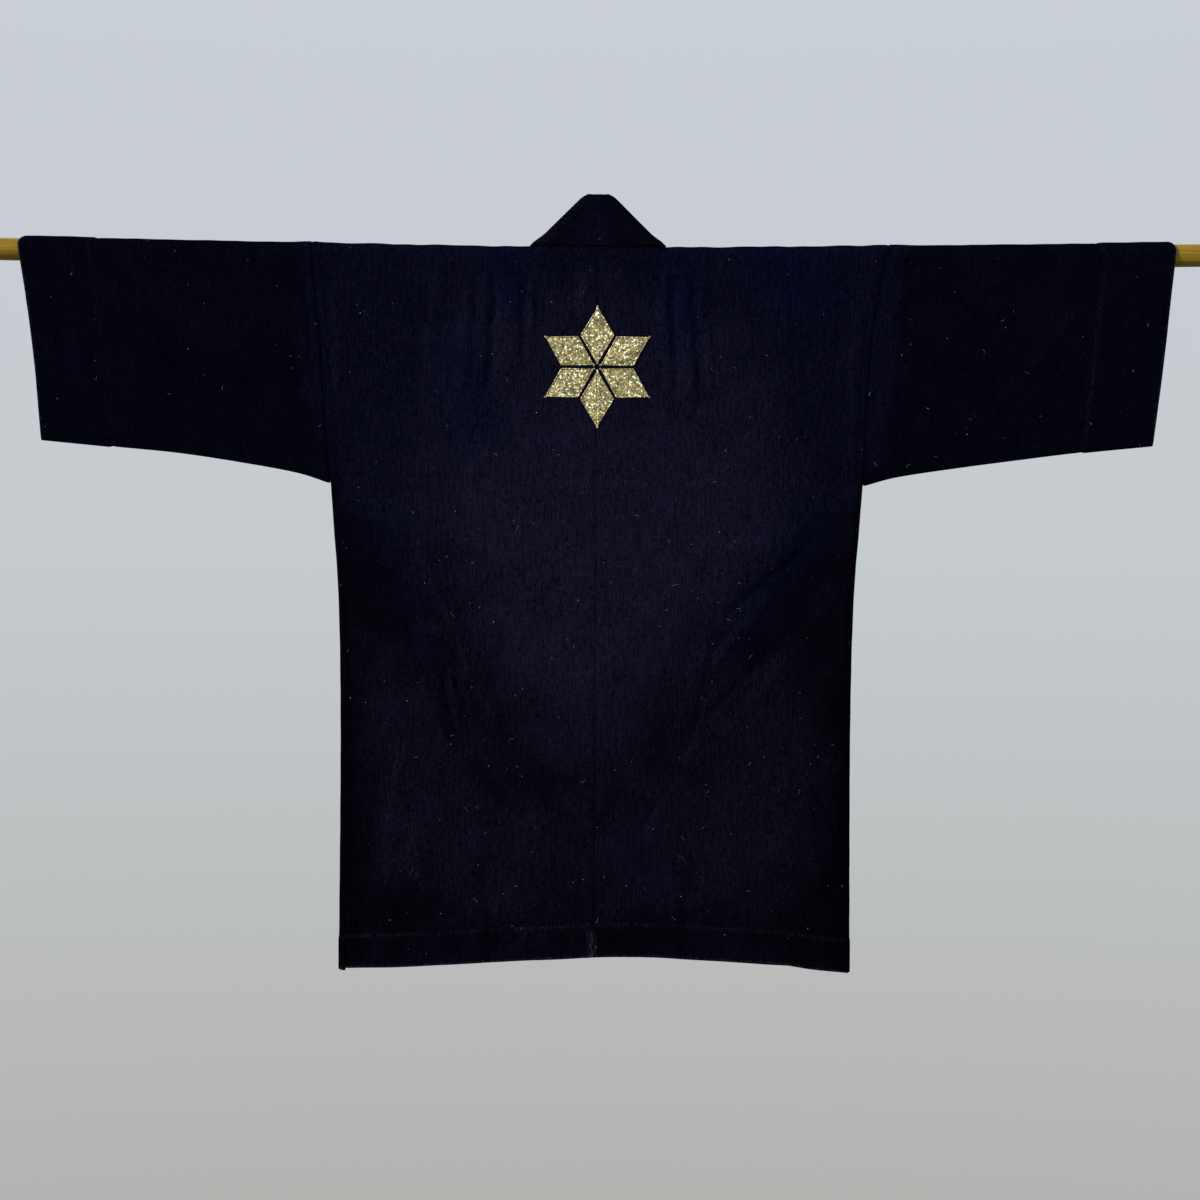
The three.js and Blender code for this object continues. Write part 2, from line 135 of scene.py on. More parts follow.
# Smaller creases, each given in the same way; a trough has a height below nothing
CREASES = {
    BACK: (
        # beside the armholes
        (-337, -20, -321, -159, 8, -0.9), (-345, -30, -331, -150, 9, 0.8), (358, -6, 346, -157, 8, -0.9),
        (366, -12, 356, -140, 10, 0.7), (-300, -40, -296, -190, 13, 0.8), (296, -60, 292, -200, 12, 0.7),
        # down from the shoulders and the neck
        (-119, -14, -124, -150, 8, -1.7), (-84, -12, -86, -130, 8, -1.4), (-74, -20, -78, -120, 8, 1.3),
        (-139, -18, -146, -150, 9, -1.4), (-183, -26, -196, -150, 16, 0.9), (84, -12, 90, -150, 7, -1.6),
        (107, -14, 117, -168, 7, -1.7), (74, -16, 78, -120, 8, 1.3), (118, -20, 130, -150, 8, 1.3),
        (206, -18, 214, -90, 16, 0.8), (-42, -10, -30, -34, 6, 0.7), (-30, -12, -22, -30, 5, -0.6),
        (-14, -10, -12, -36, 6, 0.7), (24, -10, 32, -32, 6, 0.6),
        # from the left underarm towards the middle
        (-292, -278, -232, -372, 12, -0.8), (-262, -268, -214, -330, 10, 1.1),
        (-240, -372, -206, -450, 10, -0.7), (-204, -330, -150, -452, 14, 0.9),
        (-190, -490, -160, -560, 9, -0.8), (-152, -452, -112, -530, 12, 0.8),
        (-176, -478, -168, -520, 6, -0.9), (-166, -470, -158, -536, 6, 0.9),
        (-182, -500, -176, -550, 6, 0.8), (-172, -474, -176, -506, 4, -1.1),
        (-160, -480, -152, -512, 4, -1), (-168, -512, -158, -542, 4, -1.1),
        (-178, -520, -184, -548, 4, -0.9), (-152, -520, -146, -540, 4, -0.8),
        (-164, -452, -150, -468, 5, -0.8), (-136, -580, -88, -640, 12, -0.5),
        # from the right underarm towards the middle
        (292, -276, 214, -350, 12, -1.3), (270, -266, 226, -312, 10, 1), (214, -350, 152, -404, 12, -1.2),
        (196, -384, 136, -462, 13, 1), (258, -392, 176, -470, 14, -1), (176, -470, 128, -520, 12, -0.9),
        (140, -430, 104, -560, 12, -1.1), (232, -440, 150, -540, 15, 0.8), (108, -560, 62, -650, 16, 0.8),
        (96, -580, 44, -668, 10, -0.8),
        # lower back
        (-40, -610, 20, -672, 14, 0.6), (36, -600, -14, -676, 11, -0.6), (-222, -560, -238, -700, 16, 0.9),
        (-250, -600, -262, -740, 10, -0.9), (236, -560, 252, -716, 14, 0.8),
        (262, -640, 268, -770, 10, -0.8), (-128, -690, -120, -800, 16, -0.8),
        (110, -690, 96, -800, 18, -0.9), (-8, -700, -4, -800, 9, 0.6),
        # where it was folded for storage
        (-292, -399, -258, -400, 5, 0.8), (-240, -401, -176, -402, 4, 0.35), (262, -401, 291, -402, 5, 0.8),
        (196, -403, 250, -402, 4, 0.35),
        # sleeves
        (-560, -70, -436, -166, 14, -1.2), (-510, -40, -400, -112, 16, 0.8),
        (-600, -40, -586, -196, 16, 0.7), (-470, -176, -352, -214, 14, -0.9),
        (-420, -150, -336, -226, 13, 0.9), (-626, -30, -612, -120, 12, -0.7),
        (410, -46, 500, -104, 12, -0.9), (548, -60, 470, -150, 18, 0.8), (600, -40, 590, -180, 15, -0.8),
        (380, -150, 470, -200, 14, 0.9), (352, -214, 420, -208, 10, -0.9), (512, -150, 590, -190, 16, 0.7),
    ),
    FRONT: (
        (-338, -24, -324, -160, 9, -0.9), (352, -16, 342, -150, 9, -0.9), (-118, -16, -126, -150, 10, -1),
        (-196, -20, -206, -130, 15, 0.9), (112, -16, 124, -160, 10, -1), (188, -18, 200, -120, 15, 0.8),
        (-290, -280, -214, -372, 12, -1.3), (-262, -300, -196, -430, 14, 1),
        (-212, -380, -140, -500, 12, -1), (-170, -470, -120, -600, 15, 0.9),
        (288, -282, 210, -380, 13, -1.2), (256, -330, 176, -440, 13, 0.9), (206, -400, 138, -540, 12, -1),
        (162, -540, 118, -640, 15, 0.8), (-240, -520, -252, -700, 16, 0.9),
        (-110, -600, -104, -780, 12, -0.9), (-200, -640, -210, -800, 13, -0.8),
        (236, -540, 246, -720, 15, 0.8), (110, -640, 104, -790, 12, -0.8), (204, -620, 196, -800, 14, -0.9),
        (-288, -402, -250, -401, 5, 0.8), (252, -400, 288, -401, 5, 0.8), (-560, -50, -440, -150, 15, -1.1),
        (-470, -160, -350, -216, 14, 0.9), (-606, -50, -594, -190, 15, 0.7),
        (-400, -120, -340, -190, 13, -0.8), (470, -40, 560, -110, 15, -1), (400, -150, 500, -196, 14, 0.9),
        (598, -60, 586, -190, 14, -0.8), (360, -200, 430, -206, 10, -0.8),
    ),
}

# Where the dye has faded, with painted light that makes the middle of the back paler than its edges: how
# much, how much bluer it is, how soft the edge is, and the outline on the back
FADED_AND_LIT = (
    # between the armholes
    (0.26, 0.16, 26, ((-344, 22), (-334, -100), (-318, -200), (-296, -276), (-192, -330), (3, -352),
                (199, -330), (298, -276), (330, -200), (347, -100), (354, 22))),
    # the wide pale middle, down to the drape's lowest point
    (0.43, 0, 80, ((-175, -86), (-198, -252), (-207, -344), (-146, -471), (-89, -568), (-8, -608), (49, -596),
                (82, -527), (130, -434), (205, -342), (233, -261), (199, -158), (159, -78), (3, -27),
                (-112, -33))),
    (0.33, 0, 70, ((-146, -241), (-135, -390), (-77, -493), (3, -521), (78, -446), (136, -342), (170, -250),
                (107, -205), (-43, -194))),
    # below the drape
    (0.34, 0, 80, ((-259, -437), (-267, -575), (-236, -701), (-146, -752), (3, -763), (199, -739),
                (259, -664), (266, -549), (233, -446), (153, -492), (107, -584), (3, -637), (-112, -608),
                (-181, -494))),
)
# Stripes, some paler and some darker than the cloth round them, many laid along the folds and creases: cloth
# that stayed dark and cloth that faded a little more, together with painted light and shade, such as painted
# shade down both sides where the cloth turns away and in troughs near the neck
STREAKS_AND_SHADE = (
    (-236, -296, -192, -436, 46, 0.07), (-192, -436, -112, -573, 46, 0.09),
    (291, -286, 170, -389, 46, 0.13), (170, -389, 118, -549, 44, 0.2), (266, -380, 176, -474, 20, 0.16),
    (-112, -573, 8, -640, 34, 0.02), (118, -549, 40, -640, 34, 0.04), (-296, -500, -296, -815, 40, -0.2),
    (296, -500, 296, -815, 40, -0.2), (-200, -790, 200, -790, 24, 0.08), (-40, -720, 50, -770, 70, -0.12),
    (-150, 0, -152, -110, 30, 0.1), (-140, -30, -138, -180, 12, -0.08), (112, -20, 118, -160, 12, -0.1),
    (88, -16, 90, -120, 16, 0.12), (-40, -14, -34, -96, 26, -0.14), (-220, -815, 220, -815, 18, 0.2),
    (40, -14, 40, -96, 26, -0.12), (-520, -50, -400, -60, 90, 0.05), (-540, -60, -420, -140, 26, -0.06),
    (400, -50, 560, -80, 90, 0.04),
)
BLUED = (
    (205, 0, 232, -36, 66, 0.9), (240, -310, 160, -430, 60, 0.36), (-240, -310, -190, -440, 60, 0.2),
    (-110, 4, -92, -46, 34, 1.0), (88, 0, 96, -92, 40, 0.6), (-160, -110, -140, -190, 54, 0.4),
    (40, -660, 60, -750, 60, 0.12), (-200, -800, 200, -800, 24, 0.24), (-500, -30, -440, -40, 70, 0.08),
    (-600, -110, -540, -150, 60, 0.12),
)
WORN = (
    (-3, -772, -2, -797, 6, 0.75), (-210, -640, -208, -700, 8, 0.09), (-208, -700, -196, -716, 9, 0.14),
    (-186, -420, -176, -432, 9, 0.1), (98, -684, 104, -690, 6, 0.2), (-70, -640, -66, -650, 6, 0.16),
    (-20, -20, -20, -60, 9, 0.16),
)


# Small mathematics
def mix(a, b, t):
    return a + (b - a) * t


def smooth(t):
    t = np.clip(t, 0, 1)
    return t * t * (3 - 2 * t)


def pinched(t):
    """A crease's profile: narrow along its crest, and spreading at its foot."""
    return np.clip(t, 0, 1) ** 2.2


def curve(rows, key, value):
    """A smooth curve through a table's rows, read from one column to another."""
    xs, ys = rows[key], rows[value]
    last = len(xs) - 1
    near = np.arange(last + 1)
    before, after = np.maximum(near - 1, 0), np.minimum(near + 1, last)
    slopes = (ys[after] - ys[before]) / (xs[after] - xs[before])

    def at(x):
        i = np.clip(np.searchsorted(xs, x) - 1, 0, last - 1)
        width = xs[i + 1] - xs[i]
        t = np.clip((x - xs[i]) / width, 0, 1)
        rise = slopes[i] * width * t * (1 - t) ** 2 - slopes[i + 1] * width * t * t * (1 - t)
        return mix(ys[i], ys[i + 1], smooth(t)) + rise

    return at


def each_side(rows, key):
    return {side: curve(rows, key, side) for side in SIGN}


side_x = curve(side_outline, "z", "x")
hem_back = curve(hem_line, "x", "z")
armhole_x = each_side(armhole_seam, "z")
cuff_x = each_side(cuff_edge, "z")
underside_z = each_side(sleeve_underside, "x")


def hem_z(face, x):
    return hem_back(x) if face == BACK else hem_back(-x) - front_drop


def axis_z(x):
    """Height of the rod's axis, which bows down a little in the middle."""
    return rod.rise * (np.hypot(x, rod.bend) - rod.bend) / (np.hypot(rod.rise_at, rod.bend) - rod.bend)


def ridges(rows, x, z, profile=smooth):
    """Sum at each point of ridges and troughs that die away over their half-width."""
    total = np.zeros(np.broadcast(x, z).shape)
    for x0, z0, x1, z1, width, height in rows:
        ax, az = x1 - x0, z1 - z0
        t = np.clip(((x - x0) * ax + (z - z0) * az) / (ax * ax + az * az), 0, 1)
        total += height * profile(1 - np.hypot(x - x0 - ax * t, z - z0 - az * t) / width)
    return total


def inside(outline, x, z, soft):
    """1 well inside an outline and 0 well outside it, changing softly across its edge."""
    nearest, within = np.full(x.shape, 1e9), np.zeros(x.shape, bool)
    for (x0, z0), (x1, z1) in zip(outline, outline[1:] + outline[:1]):
        ax, az = x1 - x0, z1 - z0
        t = np.clip(((x - x0) * ax + (z - z0) * az) / (ax * ax + az * az), 0, 1)
        nearest = np.minimum(nearest, np.hypot(x - x0 - ax * t, z - z0 - az * t))
        within ^= ((z0 > z) != (z1 > z)) & (x < ax * (z - z0) / (az if az else 1) + x0)
    return smooth(0.5 + np.where(within, 1, -1) * nearest / soft)


def rumple(x, z, seed):
    """Low waves of many directions, about 1 high."""
    draw = np.random.RandomState(seed)
    total = np.zeros(np.broadcast(x, z).shape)
    for _ in range(16):
        turn, length, phase = draw.uniform(0, math.pi), draw.uniform(22, 90), draw.uniform(0, 2 * math.pi)
        total += np.sin(2 * math.pi * (x * math.cos(turn) + z * math.sin(turn)) / length + phase)
    return total / 5


def spaced(length, step, near=(1, 2.8)):
    """Positions from 0 to a length, closer together at both ends."""
    inner = np.linspace(near[-1], length - near[-1], max(2, round((length - 2 * near[-1]) / step) + 1))
    return np.array([0, *near[:-1], *inner, *(length - n for n in reversed(near[:-1])), length])


# Rows of the cloth: over the rod, beside the sleeve's depth, below it, or round the sleeve's underside
def over_rows(count=15):
    return [("over", BACK if a < 0 else FRONT, a) for a in np.linspace(-90, 90, count)]


def arm_rows(face, step):
    return [("arm", face, share) for share in spaced(spans.arm, step, (3, 6)) / spans.arm]


def low_rows(face, step):
    length = gusset_top - side_hem.z
    turn = 1 - hem_turn / length
    shares = [*(spaced(length, step) / length), turn - 0.004, turn, turn + 0.004]
    return [("low", face, share) for share in sorted(shares)]


def sleeve_section(side, x, row):
    """Depth and height of a row of the sleeve at a distance from the middle."""
    kind, face, at = row
    top, bottom = axis_z(x), underside_z[side](x) + wall.cloth + sleeve_fold
    if kind == "arm":
        return face * (over - (over - sleeve_fold) * at**sleeve_taper) + 0 * x, mix(top, bottom, at)
    turn = math.radians(at)
    if kind == "over":
        return over * math.sin(turn) + 0 * x, top + over * math.cos(turn)
    return sleeve_fold * math.sin(turn) + 0 * x, bottom - sleeve_fold * math.cos(turn)


def edge_of(outline, side, row):
    """Where a row meets the armhole seam or the cuff edge."""
    x = outline[side](0.0)
    for _ in range(8):
        x = outline[side](sleeve_section(side, x, row)[1])
    return (x, *sleeve_section(side, x, row))


def gusset_at(side, share, hem):
    z = mix(gusset_top, hem, share)
    bulge = mix(gusset.top_bulge, gusset.hem_bulge[side], smooth(share * 2))
    depth = mix(gusset.top_half, gusset.hem_half, max(share, 0) ** 0.8)
    return side_x(z) - wall.cloth - bulge, z, bulge, depth


def body_edge(side, row):
    kind, face, at = row
    if kind != "low":
        return edge_of(armhole_x, side, row)
    x, z, _, depth = gusset_at(side, at, hem_z(face, SIGN[side] * side_hem.x))
    return x, face * depth, z


def middle_at(share):
    return mix(middle_depth.top, middle_depth.hem, share**1.5)


def neck_depth(x):
    inward = np.clip((neck.half_width - x) / over, 0, 1)
    return over * np.sqrt(1 - (1 - inward) ** 2)


def ornament_clear(x, z):
    """Nothing under the ornament and 1 away from it, so that it lies flat."""
    return smooth((np.hypot(x, z - ornament.z) - ornament.radius - 2) / 22)


def detail(face, x, z, sizes):
    """Height of the small creases and the rumple of one layer."""
    fine = sizes.crease_depth / MM * ridges(CREASES[face], x + 2 * rumple(x, z, 3), z, pinched)
    fine += sizes.rumple / MM * rumple(x, z, 11 + face)
    return fine * (ornament_clear(x, z) if face == BACK else 1)


def body_row(side, row, neck_x, shares, sizes):
    """Inner points of a body row, and the height of the small creases at each."""
    kind, face, at = row
    edge_x, edge_y, edge_z = body_edge(side, row)
    front = face == FRONT
    x = np.concatenate([neck_x, mix(neck.half_width, edge_x, shares)])
    sided = SIGN[side] * x
    if kind == "over":
        turn = math.radians(at)
        in_neck = np.arange(len(x)) < len(neck_x)
        y = over * math.sin(turn) - np.where(in_neck, neck_depth(x) * (1 + math.sin(turn)), 0)
        in_neck_z = mix(axis_z(x), axis_z(neck.half_width), math.cos(turn))
        level = np.where(in_neck, in_neck_z, axis_z(x))
        z = level + over * math.cos(turn)
        return np.stack([sided, y, z], -1), 0 * x
    share = (axis_z(edge_x) - edge_z) / (axis_z(edge_x) - hem_z(face, SIGN[side] * edge_x))
    z = mix(axis_z(x), hem_z(face, sided), share)
    from_x = mix(side_blend.top, side_blend.hem, share)
    to_side = smooth((x - from_x) / (edge_x - from_x))
    drop = axis_z(x) - z
    fall = smooth(drop / fall_from) * (1 - to_side if kind == "low" else 1)
    depth = mix(middle_at(share), abs(edge_y), to_side) + fall * ridges(FOLDS[face], sided, z)
    kept = 1 - to_side * (1 if kind == "low" else smooth(at * 2 - 1))
    if front:
        kept = kept * smooth((x - neck.half_width) / 16)
    fine = detail(face, sided, z, sizes) * kept * smooth((drop - 8) / 22)
    return np.stack([sided, face * depth, z], -1), fine


# Making a mesh of a piece of cloth
def unit(vectors):
    return vectors / np.maximum(np.linalg.norm(vectors, axis=-1, keepdims=True), 1e-9)


def lengths_along(points):
    """Distance along a path from its first point to each."""
    return np.concatenate([[0], np.cumsum(np.linalg.norm(np.diff(points, axis=0), axis=1))])


def surface_normals(grid, ring):
    """Outward normals of a grid whose rows run from the back hem over the rod to the front."""
    if ring:
        wrapped = np.concatenate([grid[-1:], grid, grid[:1]])
        down = (wrapped[2:] - wrapped[:-2]) / 2
    else:
        down = np.gradient(grid, axis=0)
    return unit(np.cross(np.gradient(grid, axis=1), down))


def look_of(grid, face_of_row, wear, relief_light_and_shade=0.0):
    """Fade, wear and blueness of each point, for the cloth's material; the fade channel also holds painted
    light and shade. The last argument is painted light and shade: raised creases are painted paler and
    troughs and seams darker.
    """
    x, z = grid[..., 0] * face_of_row[:, None] * -1, grid[..., 2]
    shaken_x, shaken_z = x + 11 * rumple(x / 1.7, z / 1.7, 31), z + 11 * rumple(x / 1.7, z / 1.7, 32)
    # Dye fading together with painted light and shade, from the tables and from the relief
    fade_and_light = 0.05 + ridges(STREAKS_AND_SHADE, x, z) + 0.03 * rumple(x, z, 5) + 0.1 * relief_light_and_shade
    worn = ridges(WORN, x, z) + wear
    blue = ridges(BLUED, x, z) + 0.19 * smooth((z + 460) / 300)
    for amount, bluer, soft, outline in FADED_AND_LIT:
        share = inside(outline, shaken_x, shaken_z, soft)
        fade_and_light, blue = fade_and_light + amount * share, blue + bluer * share
    return np.stack([fade_and_light, worn, blue, np.ones_like(x)], -1)


def cells_of(ids):
    """The four corners of each cell of a grid of point numbers."""
    return np.stack([ids[:-1, :-1], ids[1:, :-1], ids[1:, 1:], ids[:-1, 1:]], -1)


def mesh_object(name, points, faces, material, look=None, uv=None):
    """A smooth mesh object in metres from points in millimetres."""
    mesh = bpy.data.meshes.new(name)
    faces = faces.tolist() if isinstance(faces, np.ndarray) else faces
    mesh.from_pydata((np.asarray(points, float) * MM).tolist(), [], faces)
    mesh.polygons.foreach_set("use_smooth", np.ones(len(mesh.polygons), bool))
    if look is not None:
        mesh.color_attributes.new("look", "FLOAT_COLOR", "POINT").data.foreach_set("color", look.ravel())
    if uv is not None:
        corner = np.empty(len(mesh.loops), int)
        mesh.loops.foreach_get("vertex_index", corner)
        mesh.uv_layers.new(name="cloth").data.foreach_set("uv", (uv[corner] * MM).ravel())
    mesh.materials.append(material)
    mesh.validate()
    piece = bpy.data.objects.new(name, mesh)
    bpy.context.scene.collection.objects.link(piece)
    return piece


def dress(piece, slot, *nodes):
    """The piece rides on the jacket's one body and stands for its nodes, which are hidden. slot is not used.
    """
    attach(piece, "root")
    if nodes:
        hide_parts(*nodes)
    return piece


def cotton_piece(node, grid, grown, look, lengths, free, keep=None, ring=False):
    """A node's closed thin shell, from a grid of inner points and how far the wall grows out at each. free is
    how far a free edge is rounded out, and lengths are the cloth's own width and length there."""
    rows, columns = grid.shape[:2]
    keep = np.ones((rows if ring else rows - 1, columns - 1), bool) if keep is None else keep
    ids = np.arange(rows * columns).reshape(rows, columns)
    if ring:
        ids = np.concatenate([ids, ids[:1]])
    cells = cells_of(ids)[keep].reshape(-1, 4)
    inner, outer = grid.reshape(-1, 3), (grid + grown).reshape(-1, 3)
    normals = unit(grown.reshape(-1, 3))
    a, b, c, d = (inner[cells[:, corner]] for corner in range(4))
    if (np.cross(c - a, d - b) * normals[cells[:, 0]]).sum() < 0:
        cells = cells[:, ::-1]
    count = rows * columns

    # Away from the cells round each point, which is outwards at a free edge
    centre = inner[cells].mean(1)
    total, met = np.zeros_like(inner), np.zeros(count)
    for corner in range(4):
        np.add.at(total, cells[:, corner], centre)
        np.add.at(met, cells[:, corner], 1)
    away = inner - total / np.maximum(met, 1)[:, None]
    away -= normals * (away * normals).sum(1, keepdims=True)
    rim = (inner + outer) / 2 + unit(away) * free.reshape(-1, 1)

    sides = np.concatenate([cells[:, [k, (k + 1) % 4]] for k in range(4)])
    codes, back = sides[:, 0] * count + sides[:, 1], sides[:, 1] * count + sides[:, 0]
    a, b = sides[~np.isin(codes, back)].T
    to_rim = np.stack([a, b, b + 2 * count, a + 2 * count], -1)
    from_rim = np.stack([a + 2 * count, b + 2 * count, b + count, a + count], -1)
    faces = np.concatenate([cells + count, cells[:, ::-1], to_rim, from_rim])
    points = np.concatenate([inner, outer, rim])
    used, faces = np.unique(faces, return_inverse=True)
    look, lengths = (np.tile(field.reshape(count, -1), (3, 1))[used] for field in (look, lengths))
    cotton = finish("old_indigo_cotton", cotton_nodes, Specular_IOR_Level=0.0)
    piece = mesh_object(node + "_cloth", points[used], faces.reshape(-1, 4), cotton, look, lengths)
    return dress(piece, COTTON, node)


def own_lengths(grid, column):
    """The cloth's width and length coordinates: x, and the distance along one column."""
    along = lengths_along(grid[:, column])
    return np.stack([grid[..., 0], np.broadcast_to(along[:, None], grid.shape[:2])], -1)


def line(distance, half_width):
    """1 on a line, softly down to nothing at its half-width."""
    return smooth(1 - np.abs(distance) / half_width)


def rolled(distance, depth=0.75, reach=3.0):
    """How far a sewn edge rolls down into its seam."""
    return depth * smooth(1 - distance / reach)


def stitched(distance, along, pitch=6.5):
    """The shallow trough of a line of stitching, deeper at each stitch."""
    return (0.32 + 0.14 * np.cos(2 * math.pi * along / pitch)) * line(distance, 3.2)


def over_unevenness(kinds, ats, x):
    """Small waves of the cloth's outside where it lies over the rod, as seen along the shoulder."""
    wave = 0.28 * np.sin(x / 6.1 + 0.8 * np.sin(x / 17)) + 0.3 * np.sin(x / 14.3 + 1) + 0.4
    return np.where(kinds == "over", wave * np.cos(np.radians(np.where(kinds == "over", ats, 90))) ** 2, 0)


def armhole_bulk(side, x, z):
    return wall.armhole_bulk * line(x - armhole_x[side](z), bulk_reach)


# Shader nodes
def fill(tree, node, values):
    """Each input gets a value, or is joined to a socket."""
    for name, value in values.items():
        if isinstance(value, bpy.types.NodeSocket):
            tree.links.new(value, node.inputs[name])
        else:
            node.inputs[name].default_value = value
    return node


def add(tree, kind, values=None, **settings):
    node = tree.nodes.new("ShaderNode" + kind)
    for name, value in settings.items():
        setattr(node, name, value)
    return fill(tree, node, values or {})


def maths(tree, operation, a, b=0.0, c=0.0):
    return add(tree, "Math", {0: a, 1: b, 2: c}, operation=operation).outputs[0]


def weighted(tree, total, *terms):
    """A total plus each value times its weight."""
    for value, weight in terms:
        total = maths(tree, "MULTIPLY_ADD", value, weight, total)
    return total


def vector_maths(tree, operation, a, b):
    return add(tree, "VectorMath", {0: a, 1: b}, operation=operation).outputs[0]


def ramp(tree, value, low, high):
    """0 up to low, 1 from high, and straight between them."""
    return add(tree, "MapRange", {"Value": value, "From Min": low, "From Max": high}, clamp=True).outputs[0]


def blend_colour(tree, factor, a, b, kind="MIX"):
    return add(tree, "Mix", {0: factor, 6: a, 7: b}, data_type="RGBA", blend_type=kind).outputs[2]


def tinted(tree, colour, mask, share, other):
    return blend_colour(tree, maths(tree, "MULTIPLY", mask, share), colour, other)


def noise(tree, vector, scale, detail=2.0, rough=0.5):
    values = {"Vector": vector, "Scale": scale, "Detail": detail, "Roughness": rough}
    return add(tree, "TexNoise", values).outputs[0]


def stretched_noise(tree, vector, scales, detail=2.0, rough=0.5):
    return noise(tree, vector_maths(tree, "MULTIPLY", vector, scales), 1.0, detail, rough)


def shader_group(name, outputs, **inputs):
    """Turns a function that builds nodes from a tree and its inputs into a node group that is made once."""

    def decorate(build):
        def group():
            if name in bpy.data.node_groups:
                return bpy.data.node_groups[name]
            tree = bpy.data.node_groups.new(name, "ShaderNodeTree")
            tree.interface.new_socket("Vector", in_out="INPUT", socket_type="NodeSocketVector")
            for socket, value in inputs.items():
                made = tree.interface.new_socket(socket, in_out="INPUT", socket_type="NodeSocketFloat")
                made.default_value = value
            for socket in outputs.split():
                tree.interface.new_socket(socket, in_out="OUTPUT", socket_type="NodeSocketFloat")
            into, out = tree.nodes.new("NodeGroupInput"), tree.nodes.new("NodeGroupOutput")
            fill(tree, out, build(tree, into.outputs))
            return tree

        return group

    return decorate


def use(tree, group, **values):
    """Places a node group with its own values."""
    node = tree.nodes.new("ShaderNodeGroup")
    node.node_tree = group()
    return fill(tree, node, values).outputs


@shader_group("plain_weave", "Height Slub Streak Cross", Pitch=0.0007)
def plain_weave(tree, inputs):
    """Height of the crossing threads, and uneven threads along the warp, short and long, and across it."""
    place = inputs["Vector"]
    parts = add(tree, "SeparateXYZ", {0: place}).outputs
    turn = maths(tree, "DIVIDE", math.pi, inputs["Pitch"])
    warp = maths(tree, "SINE", maths(tree, "MULTIPLY", parts[0], turn))
    weft = maths(tree, "SINE", maths(tree, "MULTIPLY", parts[1], turn))
    which = maths(tree, "MULTIPLY_ADD", maths(tree, "MULTIPLY", warp, weft), 0.5, 0.5)
    lift = maths(tree, "MULTIPLY", maths(tree, "ABSOLUTE", warp), which)
    dip = maths(tree, "MULTIPLY", maths(tree, "ABSOLUTE", weft), maths(tree, "SUBTRACT", 1.0, which))
    uneven = {"Slub": (520.0, 130.0, 1.0), "Streak": (610.0, 26.0, 1.0), "Cross": (160.0, 480.0, 1.0)}
    threads = {}
    for name, scales in uneven.items():
        threads[name] = ramp(tree, stretched_noise(tree, place, scales), 0.36, 0.66)
    return {"Height": maths(tree, "ADD", lift, dip), **threads}


@shader_group("mottle", "Cloud Fine", Scale=9.0)
def mottle(tree, inputs):
    """Uneven clouds of two sizes, from 0 to 1."""
    large = noise(tree, inputs["Vector"], inputs["Scale"], 4.0, 0.6)
    fine = noise(tree, inputs["Vector"], maths(tree, "MULTIPLY", inputs["Scale"], 7.0), 3.0, 0.6)
    return {"Cloud": ramp(tree, weighted(tree, 0.0, (large, 0.6), (fine, 0.4)), 0.34, 0.66), "Fine": fine}


@shader_group("crumple", "Height")
def crumple(tree, inputs):
    """Height of the small unplaced wrinkles of old cloth: sharp ridges of two sizes, strongest in patches."""
    bent = noise(tree, inputs["Vector"], 14.0)
    place = vector_maths(tree, "MULTIPLY", inputs["Vector"], (1.0, 0.55, 1.0))
    place = vector_maths(tree, "ADD", place, maths(tree, "MULTIPLY", bent, 0.02))
    heights = []
    for scale, power in ((46.0, 6.0), (130.0, 2.5)):
        fold = maths(tree, "ABSOLUTE", maths(tree, "MULTIPLY_ADD", noise(tree, place, scale), 5.0, -2.5))
        ridge = maths(tree, "SUBTRACT", 1.0, ramp(tree, fold, 0.0, 1.0))
        heights.append(maths(tree, "POWER", ridge, power))
    patch = ramp(tree, noise(tree, inputs["Vector"], 9.0), 0.36, 0.62)
    return {"Height": weighted(tree, maths(tree, "MULTIPLY", heights[0], patch), (heights[1], 0.35))}


@shader_group("dust", "Speck", Scale=160.0, Rarity=0.9)
def dust(tree, inputs):
    """Scattered pale specks, few and of uneven size."""
    cells = add(tree, "TexVoronoi", {"Vector": inputs["Vector"], "Scale": inputs["Scale"]})
    chance = add(tree, "SeparateColor", {0: cells.outputs["Color"]}).outputs
    size = maths(tree, "MULTIPLY", ramp(tree, chance[0], inputs["Rarity"], 1.0), 0.14)
    near = maths(tree, "SUBTRACT", size, cells.outputs["Distance"])
    return {"Speck": ramp(tree, near, 0.0, 0.03)}


def finish(name, build, *values, **constants):
    """A material made once: constant sockets of its Principled BSDF are set, and build fills the rest."""
    if name in bpy.data.materials:
        return bpy.data.materials[name]
    material = bpy.data.materials.new(name)
    material.use_nodes = True
    shader = material.node_tree.nodes["Principled BSDF"]
    settings = {socket.replace("_", " "): value for socket, value in constants.items()}
    fill(material.node_tree, shader, settings | build(material.node_tree, jacket_colours(), *values))
    return material


def bump(tree, height, distance, strength):
    return add(tree, "Bump", {"Height": height, "Distance": distance, "Strength": strength}).outputs[0]


